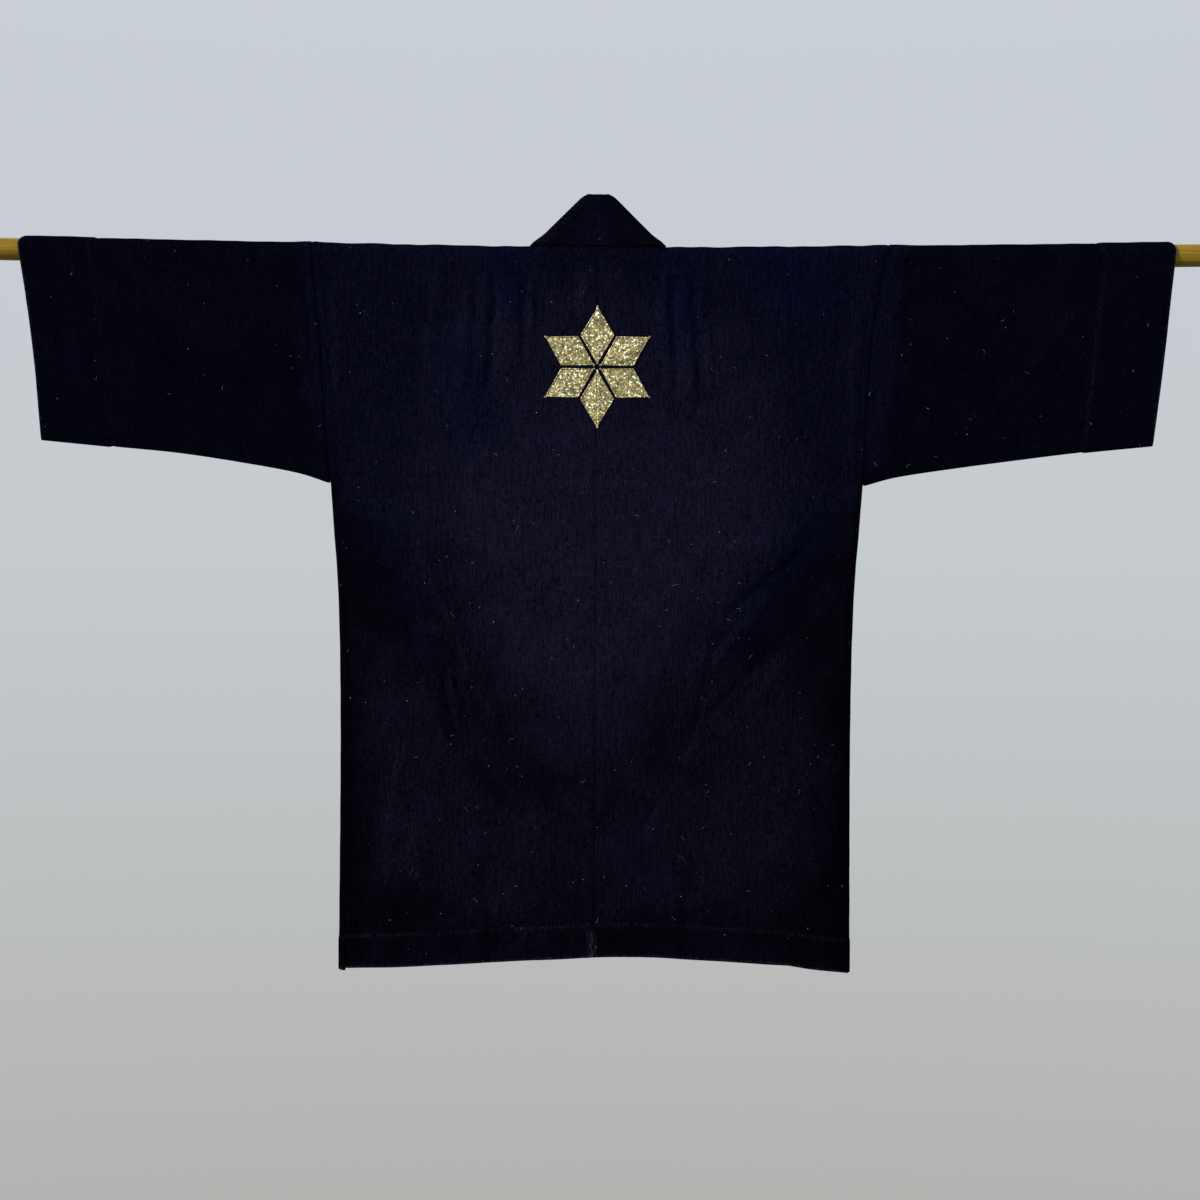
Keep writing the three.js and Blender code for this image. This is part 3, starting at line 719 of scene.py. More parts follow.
def cotton_nodes(tree, colours):
    """Old indigo cotton: plain weave with slubs, faded and worn as the look attribute says, with the painted
    light and shade that its fade channel carries and painted shade along the small wrinkles.
    """
    place = add(tree, "UVMap", uv_map="cloth").outputs[0]
    look = add(tree, "Attribute", attribute_name="look").outputs["Color"]
    fade_and_light, wear, blue = add(tree, "SeparateColor", {0: look}).outputs
    weave = use(tree, plain_weave, Vector=place, Pitch=0.0007)
    cloud = use(tree, mottle, Vector=place, Scale=11.0)
    speck = use(tree, dust, Vector=place, Scale=120.0, Rarity=0.9)["Speck"]
    wrinkles = use(tree, crumple, Vector=place)["Height"]
    # Painted light and shade with the dye: indigo where shade is painted, faded where light is painted
    tone = ramp(tree, weighted(tree, fade_and_light, (cloud["Cloud"], 0.1)), 0.02, 0.98)
    colour = blend_colour(tree, tone, colours["indigo"], colours["faded"])
    bluish = maths(tree, "MULTIPLY", ramp(tree, blue, 0.0, 1.0), ramp(tree, cloud["Fine"], -0.1, 0.8))
    colour = blend_colour(tree, bluish, colour, colours["blued"])
    rubbed = maths(tree, "MULTIPLY", wear, ramp(tree, weave["Slub"], 0.1, 0.9))
    colour = blend_colour(tree, ramp(tree, rubbed, 0.0, 1.0), colour, colours["worn"])
    # The small wrinkles darken the colour as painted shade; slub, streak and cross are the threads' own
    # unevenness
    uneven = (weave["Slub"], 0.62), (weave["Streak"], 0.5), (weave["Cross"], 0.48), (wrinkles, -0.2)
    colour = blend_colour(tree, 1.0, colour, weighted(tree, 0.24, *uneven), "MULTIPLY")
    colour = tinted(tree, colour, speck, 0.12, colours["lint"])
    height = weighted(tree, weave["Height"], (weave["Slub"], 0.8), (wrinkles, 3.4))
    rough = ramp(tree, cloud["Cloud"], -6.0, 1.6)
    return {"Base Color": colour, "Roughness": rough, "Normal": bump(tree, height, 0.0002, 0.9)}


def thread_nodes(tree, colours):
    """Twisted sewing thread, a little paler than the cloth."""
    cloud = use(tree, mottle, Vector=add(tree, "TexCoord").outputs["Object"], Scale=140.0)
    colour = tinted(tree, colours["indigo"], cloud["Cloud"], 0.45, colours["faded"])
    return {"Base Color": colour, "Normal": bump(tree, cloud["Fine"], 0.0002, 0.6)}


def lint_nodes(tree, colours):
    cloud = use(tree, mottle, Vector=add(tree, "TexCoord").outputs["Object"], Scale=60.0)
    return {"Base Color": blend_colour(tree, cloud["Cloud"], colours["dust"], colours["lint"])}


def gold_nodes(tree, colours, pitch, painted_glint_share):
    """Foil-wrapped thread laid side by side, with a broken glitter of painted glints, which are painted
    highlights, and rubbed places.
    """
    place = add(tree, "TexCoord").outputs["Object"]
    flat = add(tree, "UVMap", uv_map="cloth").outputs[0]
    weave = use(tree, plain_weave, Vector=flat, Pitch=pitch)
    cloud = use(tree, mottle, Vector=place, Scale=46.0)
    cells = add(tree, "TexVoronoi", {"Vector": place, "Scale": 620.0})
    glint = add(tree, "SeparateColor", {0: cells.outputs["Color"]}).outputs
    tone = weighted(tree, 0.0, (cloud["Cloud"], 0.3), (glint[0], 0.75))
    colour = blend_colour(tree, ramp(tree, tone, 0.1, 0.85), colours["gold_shade"], colours["gold"])
    # Painted highlights: scattered glints painted into the gold's colour
    colour = tinted(tree, colour, ramp(tree, glint[1], 0.76, 0.88), painted_glint_share, colours["gold_glint"])
    colour = tinted(tree, colour, ramp(tree, glint[2], 0.58, 0.68), 0.8, colours["gold_worn"])
    height = weighted(tree, weave["Height"], (glint[2], 0.9))
    rough = ramp(tree, glint[1], -0.9, 1.9)
    return {"Base Color": colour, "Roughness": rough, "Normal": bump(tree, height, 0.00016, 0.8)}


def gold(name, pitch, painted_glint_share):
    return finish(name, gold_nodes, pitch, painted_glint_share, Metallic=0.35, Specular_IOR_Level=0.4)


def wood_nodes(tree, colours):
    """Tan wood with fine grain along the rod, a little grubby."""
    place = add(tree, "TexCoord").outputs["Object"]
    grain = stretched_noise(tree, place, (7.0, 420.0, 420.0), 4.0, 0.65)
    bands = stretched_noise(tree, place, (1.6, 120.0, 120.0))
    cloud = use(tree, mottle, Vector=place, Scale=22.0)
    speck = use(tree, dust, Vector=place, Scale=190.0, Rarity=0.88)["Speck"]
    tone = weighted(tree, 0.0, (bands, 0.6), (ramp(tree, grain, 0.3, 0.7), 0.55))
    colour = blend_colour(tree, ramp(tree, tone, 0.34, 0.86), colours["wood_dark"], colours["wood"])
    colour = tinted(tree, colour, cloud["Cloud"], 0.22, colours["wood_grey"])
    colour = tinted(tree, colour, speck, 0.4, colours["dust"])
    rough = maths(tree, "MULTIPLY_ADD", grain, 0.3, 0.38)
    return {"Base Color": colour, "Roughness": rough, "Normal": bump(tree, grain, 0.0003, 0.5)}


def floor_nodes(tree, colours):
    cloud = use(tree, mottle, Vector=add(tree, "TexCoord").outputs["Object"], Scale=5.0)
    return {"Base Color": tinted(tree, colours["floor"], cloud["Cloud"], 0.03, colours["dust"])}


def colour_property(name, description, value):
    return bpy.props.FloatVectorProperty(
        name=name, description=description, subtype="COLOR", size=4, min=0, max=1, default=(*value, 1)
    )


def length_property(name, description, value):
    return bpy.props.FloatProperty(
        name=name, description=description, default=value, subtype="DISTANCE", unit="LENGTH", precision=5
    )


class JacketSizes(bpy.types.PropertyGroup):
    """Sizes that change how the cloth and its sewing look."""

    cell: length_property("Cell", "Side of the cloth's mesh cells", 0.0033)
    crease_depth: length_property("Crease depth", "Depth of a small crease whose height is 1", 0.0021)
    rumple: length_property("Rumple", "Height of the cloth's low uneven waves", 0.00035)
    stitch_pitch: length_property("Stitch pitch", "Distance from one stitch to the next", 0.0065)
    stitch_length: length_property("Stitch length", "Length of a stitch on the surface", 0.0028)
    thread: length_property("Thread", "Radius of the sewing thread", 0.00032)
    cord: length_property("Cord", "Radius of the gold cord round each leaf", 0.00085)
    foil: length_property("Foil", "Distance between two laid gold threads", 0.0017)
    fibres: bpy.props.IntProperty(name="Fibres", description="Number of lint fibres", default=110, min=0)
    specks: bpy.props.IntProperty(name="Specks", description="Number of lint specks", default=420, min=0)
    camera_distance: length_property("Camera distance", "From the camera to the jacket", 2.45)
    view_width: length_property("View width", "Width of the view at the jacket", 1.38)


class JacketColours(bpy.types.PropertyGroup):
    """Colours of the finishes."""

    # indigo and faded are also the ends of the cloth's painted light and shade: indigo for painted shade,
    # faded for painted light
    indigo: colour_property("Indigo", "Cloth that has kept its dye", (0.00069, 0.00053, 0.00140))
    faded: colour_property("Faded", "Cloth whose dye has faded", (0.00455, 0.0041, 0.0100))
    blued: colour_property("Blued", "Cloth with a bluer cast", (0.0008, 0.0018, 0.0094))
    worn: colour_property("Worn", "Cloth rubbed pale", (0.020, 0.0205, 0.030))
    lint: colour_property("Lint", "Lint and stray fibres", (0.23, 0.24, 0.28))
    dust: colour_property("Dust", "Dust and duller lint", (0.026, 0.027, 0.035))
    gold: colour_property("Gold", "Gold foil thread", (0.33, 0.285, 0.105))
    gold_shade: colour_property("Gold shade", "Dull places of the gold", (0.085, 0.065, 0.020))
    # Painted highlight colour of the gold's glints
    gold_glint: colour_property("Gold glint", "Glints of the gold", (0.95, 0.91, 0.60))
    gold_worn: colour_property("Gold worn", "Where the foil has rubbed off its thread", (0.045, 0.034, 0.016))
    wood: colour_property("Wood", "Light grain of the rod", (0.21, 0.127, 0.0045))
    wood_dark: colour_property("Wood dark", "Dark grain of the rod", (0.075, 0.040, 0.0008))
    wood_grey: colour_property("Wood grey", "Grubby places of the rod", (0.13, 0.095, 0.017))
    floor: colour_property("Floor", "Studio floor", (0.17, 0.172, 0.17))
    surround: colour_property("Surround", "Pale room behind the jacket", (0.565, 0.595, 0.62))
    surround_high: colour_property("Surround high", "The room higher up", (0.585, 0.62, 0.68))
    surround_low: colour_property("Surround low", "The room lower down", (0.44, 0.44, 0.42))


def jacket_sizes():
    return bpy.context.scene.jacket_sizes


def jacket_colours():
    """Each colour by its name."""
    colours = bpy.context.scene.jacket_colours
    return {name: tuple(getattr(colours, name)) for name in JacketColours.__annotations__}


def row_fields(rows):
    """Kinds and positions of rows as columns, and their faces."""
    kinds, faces, ats = (np.array([row[field] for row in rows]) for field in range(3))
    return kinds[:, None], ats[:, None], faces


def make_body(side):
    """One length of cloth from the back hem over the shoulder to the front hem."""
    sizes = jacket_sizes()
    step = sizes.cell / MM
    neck_x = spaced(neck.half_width - 0.8, step)
    shares = spaced(spans.body, step) / spans.body
    above_rod = [*arm_rows(BACK, step)[-2:0:-1], *over_rows(), *arm_rows(FRONT, step)[1:-1]]
    rows = [*reversed(low_rows(BACK, step)), *above_rod, *low_rows(FRONT, step)]
    made = [body_row(side, row, neck_x, shares, sizes) for row in rows]
    grid, fine = np.stack([m[0] for m in made]), np.stack([m[1] for m in made])
    kinds, ats, faces = row_fields(rows)
    low, is_back, front_over = kinds == "low", faces[:, None] == BACK, (kinds == "over") & (ats >= 0)
    normals = surface_normals(grid, False) * SIGN[side]
    grid = grid + normals * fine[..., None]
    x, z = np.abs(grid[..., 0]), grid[..., 2]
    from_edge = x[:, -1:] - x
    above = z - np.where(is_back, hem_z(BACK, grid[..., 0]), hem_z(FRONT, grid[..., 0]))

    thick = np.where(low, mix(wall.cloth, wall.hem, smooth((hem_turn + 1.5 - above) / 3)), wall.cloth)
    thick = thick + np.where(low, 0, armhole_bulk(side, x, z)) - rolled(from_edge)
    thick = thick - rolled(np.where(front_over | ~is_back, x - neck.half_width, x), 0.6)
    thick = thick - np.where(low, stitched(above - hem_turn + 2.5, x), 0)
    thick = thick - np.where(is_back, 0.6 * stitched(z - lining_z, x, 11), 0)
    grown = normals * (thick + over_unevenness(kinds, ats, grid[..., 0]))[..., None]
    mitre = np.where(front_over, neck.mitre * np.cos(np.radians(ats)), 0)
    grown[..., 0] += SIGN[side] * mitre * smooth(1 - (x - neck.half_width) / 5)

    wear = 0.4 * smooth(1 - above / 2.5) + 0.14 * line(above - hem_turn, 2.5) + 0.06 * line(z - lining_z, 3)
    # Painted shade: darker lines along the armhole seam and 9 mm inside it, down the middle seam of the back,
    # and a wavering line just above the lining's stitching
    lining_line_shade = line(z - lining_z - 1.5, 2.5) * smooth(0.5 + 0.6 * rumple(grid[..., 0], z, 8))
    seam = smooth(1 - from_edge / 4) + 0.8 * line(from_edge - 9, 2.5) * ~low
    seam += (0.55 * smooth(1 - x / 2.5) + 0.9 * lining_line_shade) * is_back
    keep = np.ones((len(rows) - 1, grid.shape[1] - 1), bool)
    shoulder = next(i for i, row in enumerate(rows) if row[0] == "over" and row[2] >= -1e-6)
    keep[shoulder:, : len(neck_x)] = False
    free = np.zeros(x.shape)
    free[[0, -1]] = 0.7
    # The crease heights paint light on ridges and shade in troughs; the seam lines are subtracted as painted
    # shade
    look = look_of(grid, faces, wear, fine - 3 * seam)
    return cotton_piece(f"body_{side}", grid, grown, look, own_lengths(grid, len(neck_x) + 20), free, keep)


def make_sleeve(side):
    """One folded length of cloth, closed along its underside."""
    sizes = jacket_sizes()
    step = sizes.cell / MM
    shares = spaced(spans.sleeve, step) / spans.sleeve
    under_rows = [("under", FRONT if a > 0 else BACK, a) for a in np.linspace(90, -90, 9)[1:-1]]
    rows = [*arm_rows(BACK, step)[:0:-1], *over_rows(), *arm_rows(FRONT, step)[1:], *under_rows]
    grid, fine = [], []
    for row in rows:
        kind, face, at = row
        start, end = edge_of(armhole_x, side, row)[0], edge_of(cuff_x, side, row)[0]
        rounded = cuff_round * math.cos(math.radians(at)) ** 4 if kind == "over" else 0
        x = mix(start, end - rounded, shares)
        y, z = sleeve_section(side, x, row)
        sided, drop = SIGN[side] * x, axis_z(x) - z
        kept = 1 - smooth(at * 2 - 1) if kind == "arm" else 0
        y = y + face * kept * smooth(drop / fall_from) * ridges(FOLDS[face], sided, z)
        fine.append(detail(face, sided, z, sizes) * kept * smooth((drop - 8) / 22))
        grid.append(np.stack([sided, y, z], -1))
    grid, fine = np.stack(grid), np.stack(fine)
    normals = surface_normals(grid, True) * SIGN[side]
    grid = grid + normals * fine[..., None]
    x, z = np.abs(grid[..., 0]), grid[..., 2]
    kinds, ats, faces = row_fields(rows)
    to_cuff, to_body, under = x[:, -1:] - x, x - x[:, :1], kinds == "under"
    thick = mix(wall.cloth, wall.hem, smooth((cuff_turn - to_cuff) / 4 + 0.5))
    thick = thick + np.where(under, 0, armhole_bulk(side, x, z)) - rolled(to_body)
    thick = thick + 0.4 * over_unevenness(kinds, ats, grid[..., 0]) - stitched(to_cuff - cuff_turn - 2, z)
    wear = 0.4 * smooth(1 - to_cuff / 2.5) + 0.1 * line(to_cuff - cuff_turn, 3) + 0.06 * under
    free = np.zeros(x.shape)
    free[:, -1] = 0.7
    # Painted light and shade: creases paler on ridges and darker in troughs, and painted shade along the
    # armhole seam
    look = look_of(grid, faces, wear, 0.4 * fine - 3 * smooth(1 - to_body / 5))
    grown = normals * thick[..., None]
    return cotton_piece(f"sleeve_{side}", grid, grown, look, own_lengths(grid, 0), free, ring=True)


def make_gusset(side):
    """The narrow strip down one side, folded outwards between the back and the front."""
    sided_x = SIGN[side] * side_hem.x
    hem = (hem_z(BACK, sided_x) + hem_z(FRONT, sided_x)) / 2
    shares = [-0.013, -0.005, *(row[2] for row in low_rows(BACK, jacket_sizes().cell / MM))]
    turns = np.radians(np.linspace(-90, 90, 15))
    grid, across = [], []
    for share in shares:
        x, z, bulge, depth = gusset_at(side, share, hem)
        ripple = 0.3 * math.sin(share * 9) * math.sin(share * math.pi) + 0.08 * math.sin(share * 67 + 1)
        out = x + (bulge + ripple * min(1, share * 6)) * np.cos(turns)
        grid.append(np.stack([SIGN[side] * out, SIGN[side] * depth * np.sin(turns), z + 0 * turns], -1))
        across.append(depth * turns)
    grid, across = np.stack(grid), np.stack(across)
    normals = -surface_normals(grid, False)
    ends = np.abs(across[:, -1:]) - np.abs(across)
    above = grid[..., 2] - hem
    thick = mix(wall.cloth, wall.hem * 0.85, smooth((hem_turn + 1.5 - above) / 3)) - rolled(ends, 0.6, 2.5)
    wear = 0.5 * smooth(1 - above / 2.5) + 0.1 * line(above - hem_turn, 3)
    free = np.zeros(across.shape)
    free[-1] = 0.7
    look = look_of(grid, np.full(len(shares), BACK), wear)
    lengths = np.stack([across, grid[..., 2]], -1)
    return cotton_piece(f"gusset_{side}", grid, normals * thick[..., None], look, lengths, free)


def collar_point(station, w):
    """A point of the collar's inner surface at each distance across the band from its seam."""
    kind, side, at = station
    spread = {"front_turn": math.cos(math.radians(at)) ** 2, "settle": 0, "front": 0}.get(kind, 1)
    spread = spread * np.clip(1 - w / collar.flare_height, 0, 1) ** 2
    fold_x = neck.half_width - w + collar.flare * spread
    lift = spread * (0.8 * abs(at) ** 8 - 0.5 * (1 - at * at) if kind == "back" else 0.8)
    fold_z = over + w + axis_z(fold_x) + lift
    radius = mix(over, collar.top_radius, (w / collar.width) ** 1.4) + lift
    if kind == "back":
        return at * (fold_x - radius), -radius, fold_z
    turn = math.radians(at)
    if kind == "back_turn":
        return side * (fold_x - radius * (1 - math.cos(turn))), -radius * math.sin(turn), fold_z
    if kind == "front_turn":
        return side * fold_x, radius * math.sin(turn), fold_z - radius * (1 - math.cos(turn))
    start = fold_z - radius
    settled = np.minimum(collar.settled, start - collar.least_settle)
    if kind == "settle":
        return side * fold_x, mix(radius, over, smooth(at)), mix(start, settled, at)
    hem = hem_z(FRONT, side * neck.half_width)
    z = mix(settled, hem, at)
    return side * fold_x, middle_at(np.clip(z / hem, 0, 1)), z


def make_collar():
    """The long doubled band: up round the neck, and down both fronts."""

    def half(side):
        """Stations from behind the neck to the front hem."""
        turn = np.linspace(0, 90, 9)
        return [
            *(("back_turn", side, at) for at in turn[:0:-1]),
            *(("front_turn", side, at) for at in turn[:-1]),
            *(("settle", side, at) for at in np.linspace(0, 1, 9)[:-1]),
            *(("front", side, at) for at in spaced(spans.band, jacket_sizes().cell / MM) / spans.band),
        ]

    stations = [*half(-1)[::-1], *(("back", 0, at) for at in np.linspace(-1, 1, 27)[1:-1]), *half(1)]
    w = spaced(collar.width, 3.6, (1.2, 3))
    grid = np.stack([np.stack(collar_point(station, w), -1) for station in stations])
    across = unit(np.gradient(grid, axis=1))
    normals = unit(np.cross(np.gradient(grid, axis=0), across))
    length, wide = lengths_along(grid[:, 0])[:, None], w[None, :]
    aside = length - length[-1] / 2 - collar.crease
    kinds = np.array([station[0] for station in stations])[:, None]
    waves = 0.35 * np.sin(length / 23 + wide / 17) + 0.3 * np.sin(length / 41 - wide / 11 + 2)
    from_top = collar.width - wide
    waves = waves * np.where(kinds == "front", 1, 0.35) * smooth(wide / 12) * smooth(from_top / 8)
    edge = np.minimum(wide, from_top)
    thick = mix(wall.collar_edge, wall.collar, smooth(edge / 5)) + waves
    thick = thick - 0.6 * line(aside, 2.5) * smooth(wide / 6) - 0.35 * line(wide - 5.2, 2.2)
    grown = normals * thick[..., None] + across * (collar.bevel * smooth(1 - wide / 6))[..., None]
    wear = 0.12 * smooth(1 - from_top / 3) + 0.05 * line(wide - 3, 3) + 0 * length
    look = look_of(grid, np.full(len(stations), BACK), wear)
    paler_side = smooth(0.5 - aside / 4) * smooth(1 + aside / 60)
    # The darker line at the crease is painted shade
    look[..., 0] = 0.14 + 0.16 * paler_side - 0.2 * line(aside, 3)
    look[..., 2] = 0.25 * np.where(kinds == "back", 1, 0.3)
    free = np.zeros(grid.shape[:2])
    free[:, -1] = 1.0
    free[[0, -1]] = 0.7
    lengths = np.stack(np.broadcast_arrays(wide, length), -1)
    return cotton_piece("collar", grid, grown, look, lengths, free)


def back_surface(x, z):
    share = (axis_z(x) - z) / (axis_z(x) - hem_back(x))
    return -middle_at(share) - wall.cloth


def leaf_outline(share):
    full = ornament.half_width * (1 - np.abs(2 * share - 1)) - ornament.gap
    return np.maximum(ornament.tip, full)


def leaf_place(number, reach, wide):
    """Where a point along and across a leaf lies on the back."""
    turn = math.radians(90 - 60 * (number - 1))
    ax, az = math.cos(turn), math.sin(turn)
    return ax * reach - az * wide, ornament.z + az * reach + ax * wide


def make_leaf(number):
    """One lozenge leaf: laid gold threads over a crowned pad."""
    length = ornament.radius - ornament.hub
    shares = spaced(length, 0.9, (0.4, 0.9)) / length
    across = np.linspace(-1, 1, 41)[None, :]
    half = leaf_outline(shares)[:, None] * 0.96
    reach, wide = ornament.hub + length * shares[:, None], half * across
    x, z = leaf_place(number, reach, wide)
    pitch = jacket_sizes().foil / MM
    laid = 0.16 * np.abs(np.cos(math.pi * wide / pitch))
    couched = 0.14 * line((reach + 2.1 * (np.floor(wide / pitch) % 2)) % 4.2 - 2.1, 0.6)
    crown = 1.45 * (1 - across**2) ** 0.6 * smooth(half / 5) + 0.25
    height = crown + laid - couched - 0.5 * line(wide, 0.8) * smooth(half / 4)
    base = back_surface(x, z) + 0.15
    grid = np.stack([x, base - height, z], -1)
    ids = np.arange(x.size).reshape(x.shape)
    top = cells_of(ids)[..., [0, 3, 2, 1]].reshape(-1, 4)
    ring = np.concatenate([ids[0], ids[1:, -1], ids[-1, -2::-1], ids[-2:0:-1, 0]])
    after = np.roll(ring, -1)
    rim = np.stack([ring, ring + x.size, after + x.size, after], -1)
    flat = np.stack(np.broadcast_arrays(wide, reach), -1).reshape(-1, 2)
    points = np.concatenate([grid.reshape(-1, 3), np.stack([x, base, z], -1).reshape(-1, 3)])
    faces = np.concatenate([top, top[:, ::-1] + x.size, rim])
    foil = gold("gold_foil", 0.0009, 0.8)
    pad = mesh_object(f"gold_leaf_{number}", points, faces, foil, uv=np.tile(flat, (2, 1)))
    return dress(pad, GOLD, f"ornament_leaf_{number}")


def tube(path, radius, sides=8, relief=None, closed=False):
    """Points and faces of a tube of varying radius along a path of points."""
    path = np.asarray(path, float)
    count = len(path)
    ahead = unit(np.roll(path, -1, 0) - np.roll(path, 1, 0) if closed else np.gradient(path, axis=0))
    up = np.array([0.0, -1.0, 0.0]) if abs(ahead[:, 1]).max() < 0.9 else np.array([1.0, 0.0, 0.0])
    aside = unit(np.cross(ahead, up))
    up = np.cross(aside, ahead)
    turns = np.linspace(0, 2 * math.pi, sides, endpoint=False)
    radii = np.broadcast_to(np.asarray(radius, float).reshape(-1, 1), (count, sides))
    if relief is not None:
        radii = radii + relief(np.arange(count)[:, None], turns[None, :])
    points = path[:, None] + aside[:, None] * (np.cos(turns) * radii)[..., None]
    points = points + up[:, None] * (np.sin(turns) * radii)[..., None]
    ids = np.arange(count * sides).reshape(count, sides)
    nxt = np.roll(ids, -1, 1)
    if closed:
        corners = [ids, nxt, np.roll(nxt, -1, 0), np.roll(ids, -1, 0)]
    else:
        corners = [ids[:-1], nxt[:-1], nxt[1:], ids[1:]]
    return points.reshape(-1, 3), np.stack(corners, -1).reshape(-1, 4)[:, ::-1]


def capsule(centre, direction, half, radius, up):
    """A short thread with round ends, lying along a direction."""
    t = np.array([-1, -0.86, -0.45, 0, 0.45, 0.86, 1])
    size = radius * np.array([0.12, 0.72, 1, 1.05, 1, 0.72, 0.12])
    path = centre + direction * (t * half)[:, None] - up * (0.5 * radius * t**4)[:, None]
    return tube(path, size, 6)


def joined(name, parts, material, uv=False):
    """One mesh object of many small closed forms."""
    points, faces, start = [], [], 0
    for part_points, part_faces in parts:
        points.append(part_points)
        faces.append(part_faces + start)
        start += len(part_points)
    points = np.concatenate(points)
    return mesh_object(name, points, np.concatenate(faces), material, uv=points[:, [0, 2]] if uv else None)


def leaf_cord(number):
    """The twisted gold cord sewn round a leaf's edge."""
    shares = np.linspace(0.012, 0.988, 70)
    reach = ornament.hub + (ornament.radius - ornament.hub) * shares
    half = leaf_outline(shares) - 0.35
    ring = np.concatenate([np.stack([reach, half], -1), np.stack([reach, -half], -1)[::-1]])
    ring = np.concatenate([ring, ring[:1]])
    place = lengths_along(ring)
    even = np.linspace(0, place[-1], round(place[-1] / 0.55), endpoint=False)
    x, z = leaf_place(number, np.interp(even, place, ring[:, 0]), np.interp(even, place, ring[:, 1]))
    radius = jacket_sizes().cord / MM
    path = np.stack([x, back_surface(x, z) - radius * 0.55, z], -1)

    def twist(i, turns):
        return 0.16 * radius * np.cos(2 * (turns + i * 0.42))

    return tube(path, np.full(len(path), radius), 8, twist, closed=True)


# Sewing and lint lie on the finished cloth
def finder():
    """Looks from outside for the nearest cloth at an x and z, from one face, and gives point and normal."""
    sided = [f"{part}_{side}_cloth" for part in ("body", "sleeve", "gusset") for side in SIGN]
    names = [*sided, "collar_cloth"]
    seen = bpy.context.evaluated_depsgraph_get()
    trees = [BVHTree.FromObject(bpy.data.objects[name], seen) for name in names]

    def find(x, z, face):
        start, best = Vector((x * MM, face * 0.2, z * MM)), None
        for tree in trees:
            point, normal, _, distance = tree.ray_cast(start, Vector((0, -face, 0)))
            if point is not None and (best is None or distance < best[2]):
                best = (np.array(point) / MM, np.array(normal), distance)
        if best is None or abs(best[0][1]) < 1.5 or best[0][1] * face < 0:
            return None
        normal = best[1] if best[1][1] * face > 0 else -best[1]
        return best[0], normal

    return find


def stitch_lines():
    """Each line of stitching: its face, its points, and its pitch against the usual one."""
    for face in (BACK, FRONT):
        inner = 0 if face == BACK else neck.half_width + 4
        for side, sign in SIGN.items():
            x = np.linspace(inner, side_hem.x - 8, 90) * sign
            yield face, np.stack([x, hem_z(face, x) + hem_turn - 2.5], -1), 1
            z = np.linspace(4, -196, 70)
            x = np.array([cuff_x[side](h) - cuff_turn - 2 for h in z]) * sign
            yield face, np.stack([x, z], -1), 1
        if face == BACK:
            x = np.linspace(-286, 286, 160)
            yield face, np.stack([x, lining_z + 0.6 * np.sin(x / 23)], -1), 1.7
    for sign in SIGN.values():
        z = np.linspace(-30, hem_z(FRONT, sign * neck.half_width) + 4, 160)
        yield FRONT, np.stack([sign * (neck.half_width - 5.2) + 0 * z, z], -1), 1.2
    x = np.linspace(-66, 66, 60)
    yield BACK, np.stack([x, over + 5.2 + axis_z(x)], -1), 1.2


def make_stitches():
    """The stitches that show: hems, cuffs, the lining's edge and the collar's seam."""
    sizes, draw, find = jacket_sizes(), np.random.RandomState(7), finder()
    half, radius, parts = sizes.stitch_length / MM / 2, sizes.thread / MM, []
    for face, points, spread in stitch_lines():
        steps = lengths_along(points)
        pitch = sizes.stitch_pitch / MM * spread
        for at in np.arange(pitch / 2, steps[-1], pitch):
            at += draw.uniform(-0.5, 0.5)
            (x, x_on), (z, z_on) = (np.interp([at, at + 1], steps, points[:, axis]) for axis in (0, 1))
            size = half * draw.uniform(0.75, 1.15) / (1.6 if spread > 1.5 else 1)
            found = find(x, z + draw.uniform(-0.25, 0.25), face)
            ahead = np.array([x_on - x, 0, z_on - z])
            if found is None or np.linalg.norm(ahead) < 1e-6:
                continue
            point, up = found
            parts.append(capsule(point + up * 0.1, unit(ahead - up * ahead.dot(up)), size, radius, up))
    thread = finish("sewing_thread", thread_nodes, Roughness=0.85, Specular_IOR_Level=0.03)
    return dress(joined("stitches", parts, thread), COTTON)


def make_lint():
    """Stray fibres and specks, more of them in the lower half."""
    sizes, draw, find, parts = jacket_sizes(), np.random.RandomState(23), finder(), []

    def place():
        while True:
            x, z = draw.uniform(-640, 640), -draw.uniform(0, 1) ** 0.75 * 800
            face = BACK if draw.uniform() < 0.62 else FRONT
            far = np.hypot(x, z - ornament.z) > ornament.radius + 4
            found = find(x, z, face) if far else None
            if found is not None and abs(found[1][1]) > 0.7:
                return found

    for _ in range(sizes.fibres):
        point, up = place()
        turn, bend, length = draw.uniform(0, 2 * math.pi), draw.uniform(-1.6, 1.6), draw.uniform(2.5, 7)
        t = np.linspace(-0.5, 0.5, 9)
        heading = turn + bend * t + 0.5 * np.sin(t * draw.uniform(3, 9))
        step = length / 8
        path = np.stack([np.cumsum(np.cos(heading)) * step, 0 * t, np.cumsum(np.sin(heading)) * step], -1)
        path -= path.mean(0)
        path -= up * (path @ up)[:, None]
        parts.append(tube(path + point + up * 0.12, np.full(9, draw.uniform(0.07, 0.12)), 5))
    for _ in range(sizes.specks):
        point, up = place()
        turn = draw.uniform(0, 2 * math.pi)
        ahead = np.array([math.cos(turn), 0, math.sin(turn)])
        size = 0.18 + 0.5 * draw.uniform() ** 4
        parts.append(capsule(point + up * 0.05, unit(ahead - up * ahead.dot(up)), size, size * 0.6, up))
    lint = finish("lint", lint_nodes, Roughness=1.0, Specular_IOR_Level=0.05)
    return dress(joined("lint_fibres", parts, lint), COTTON)


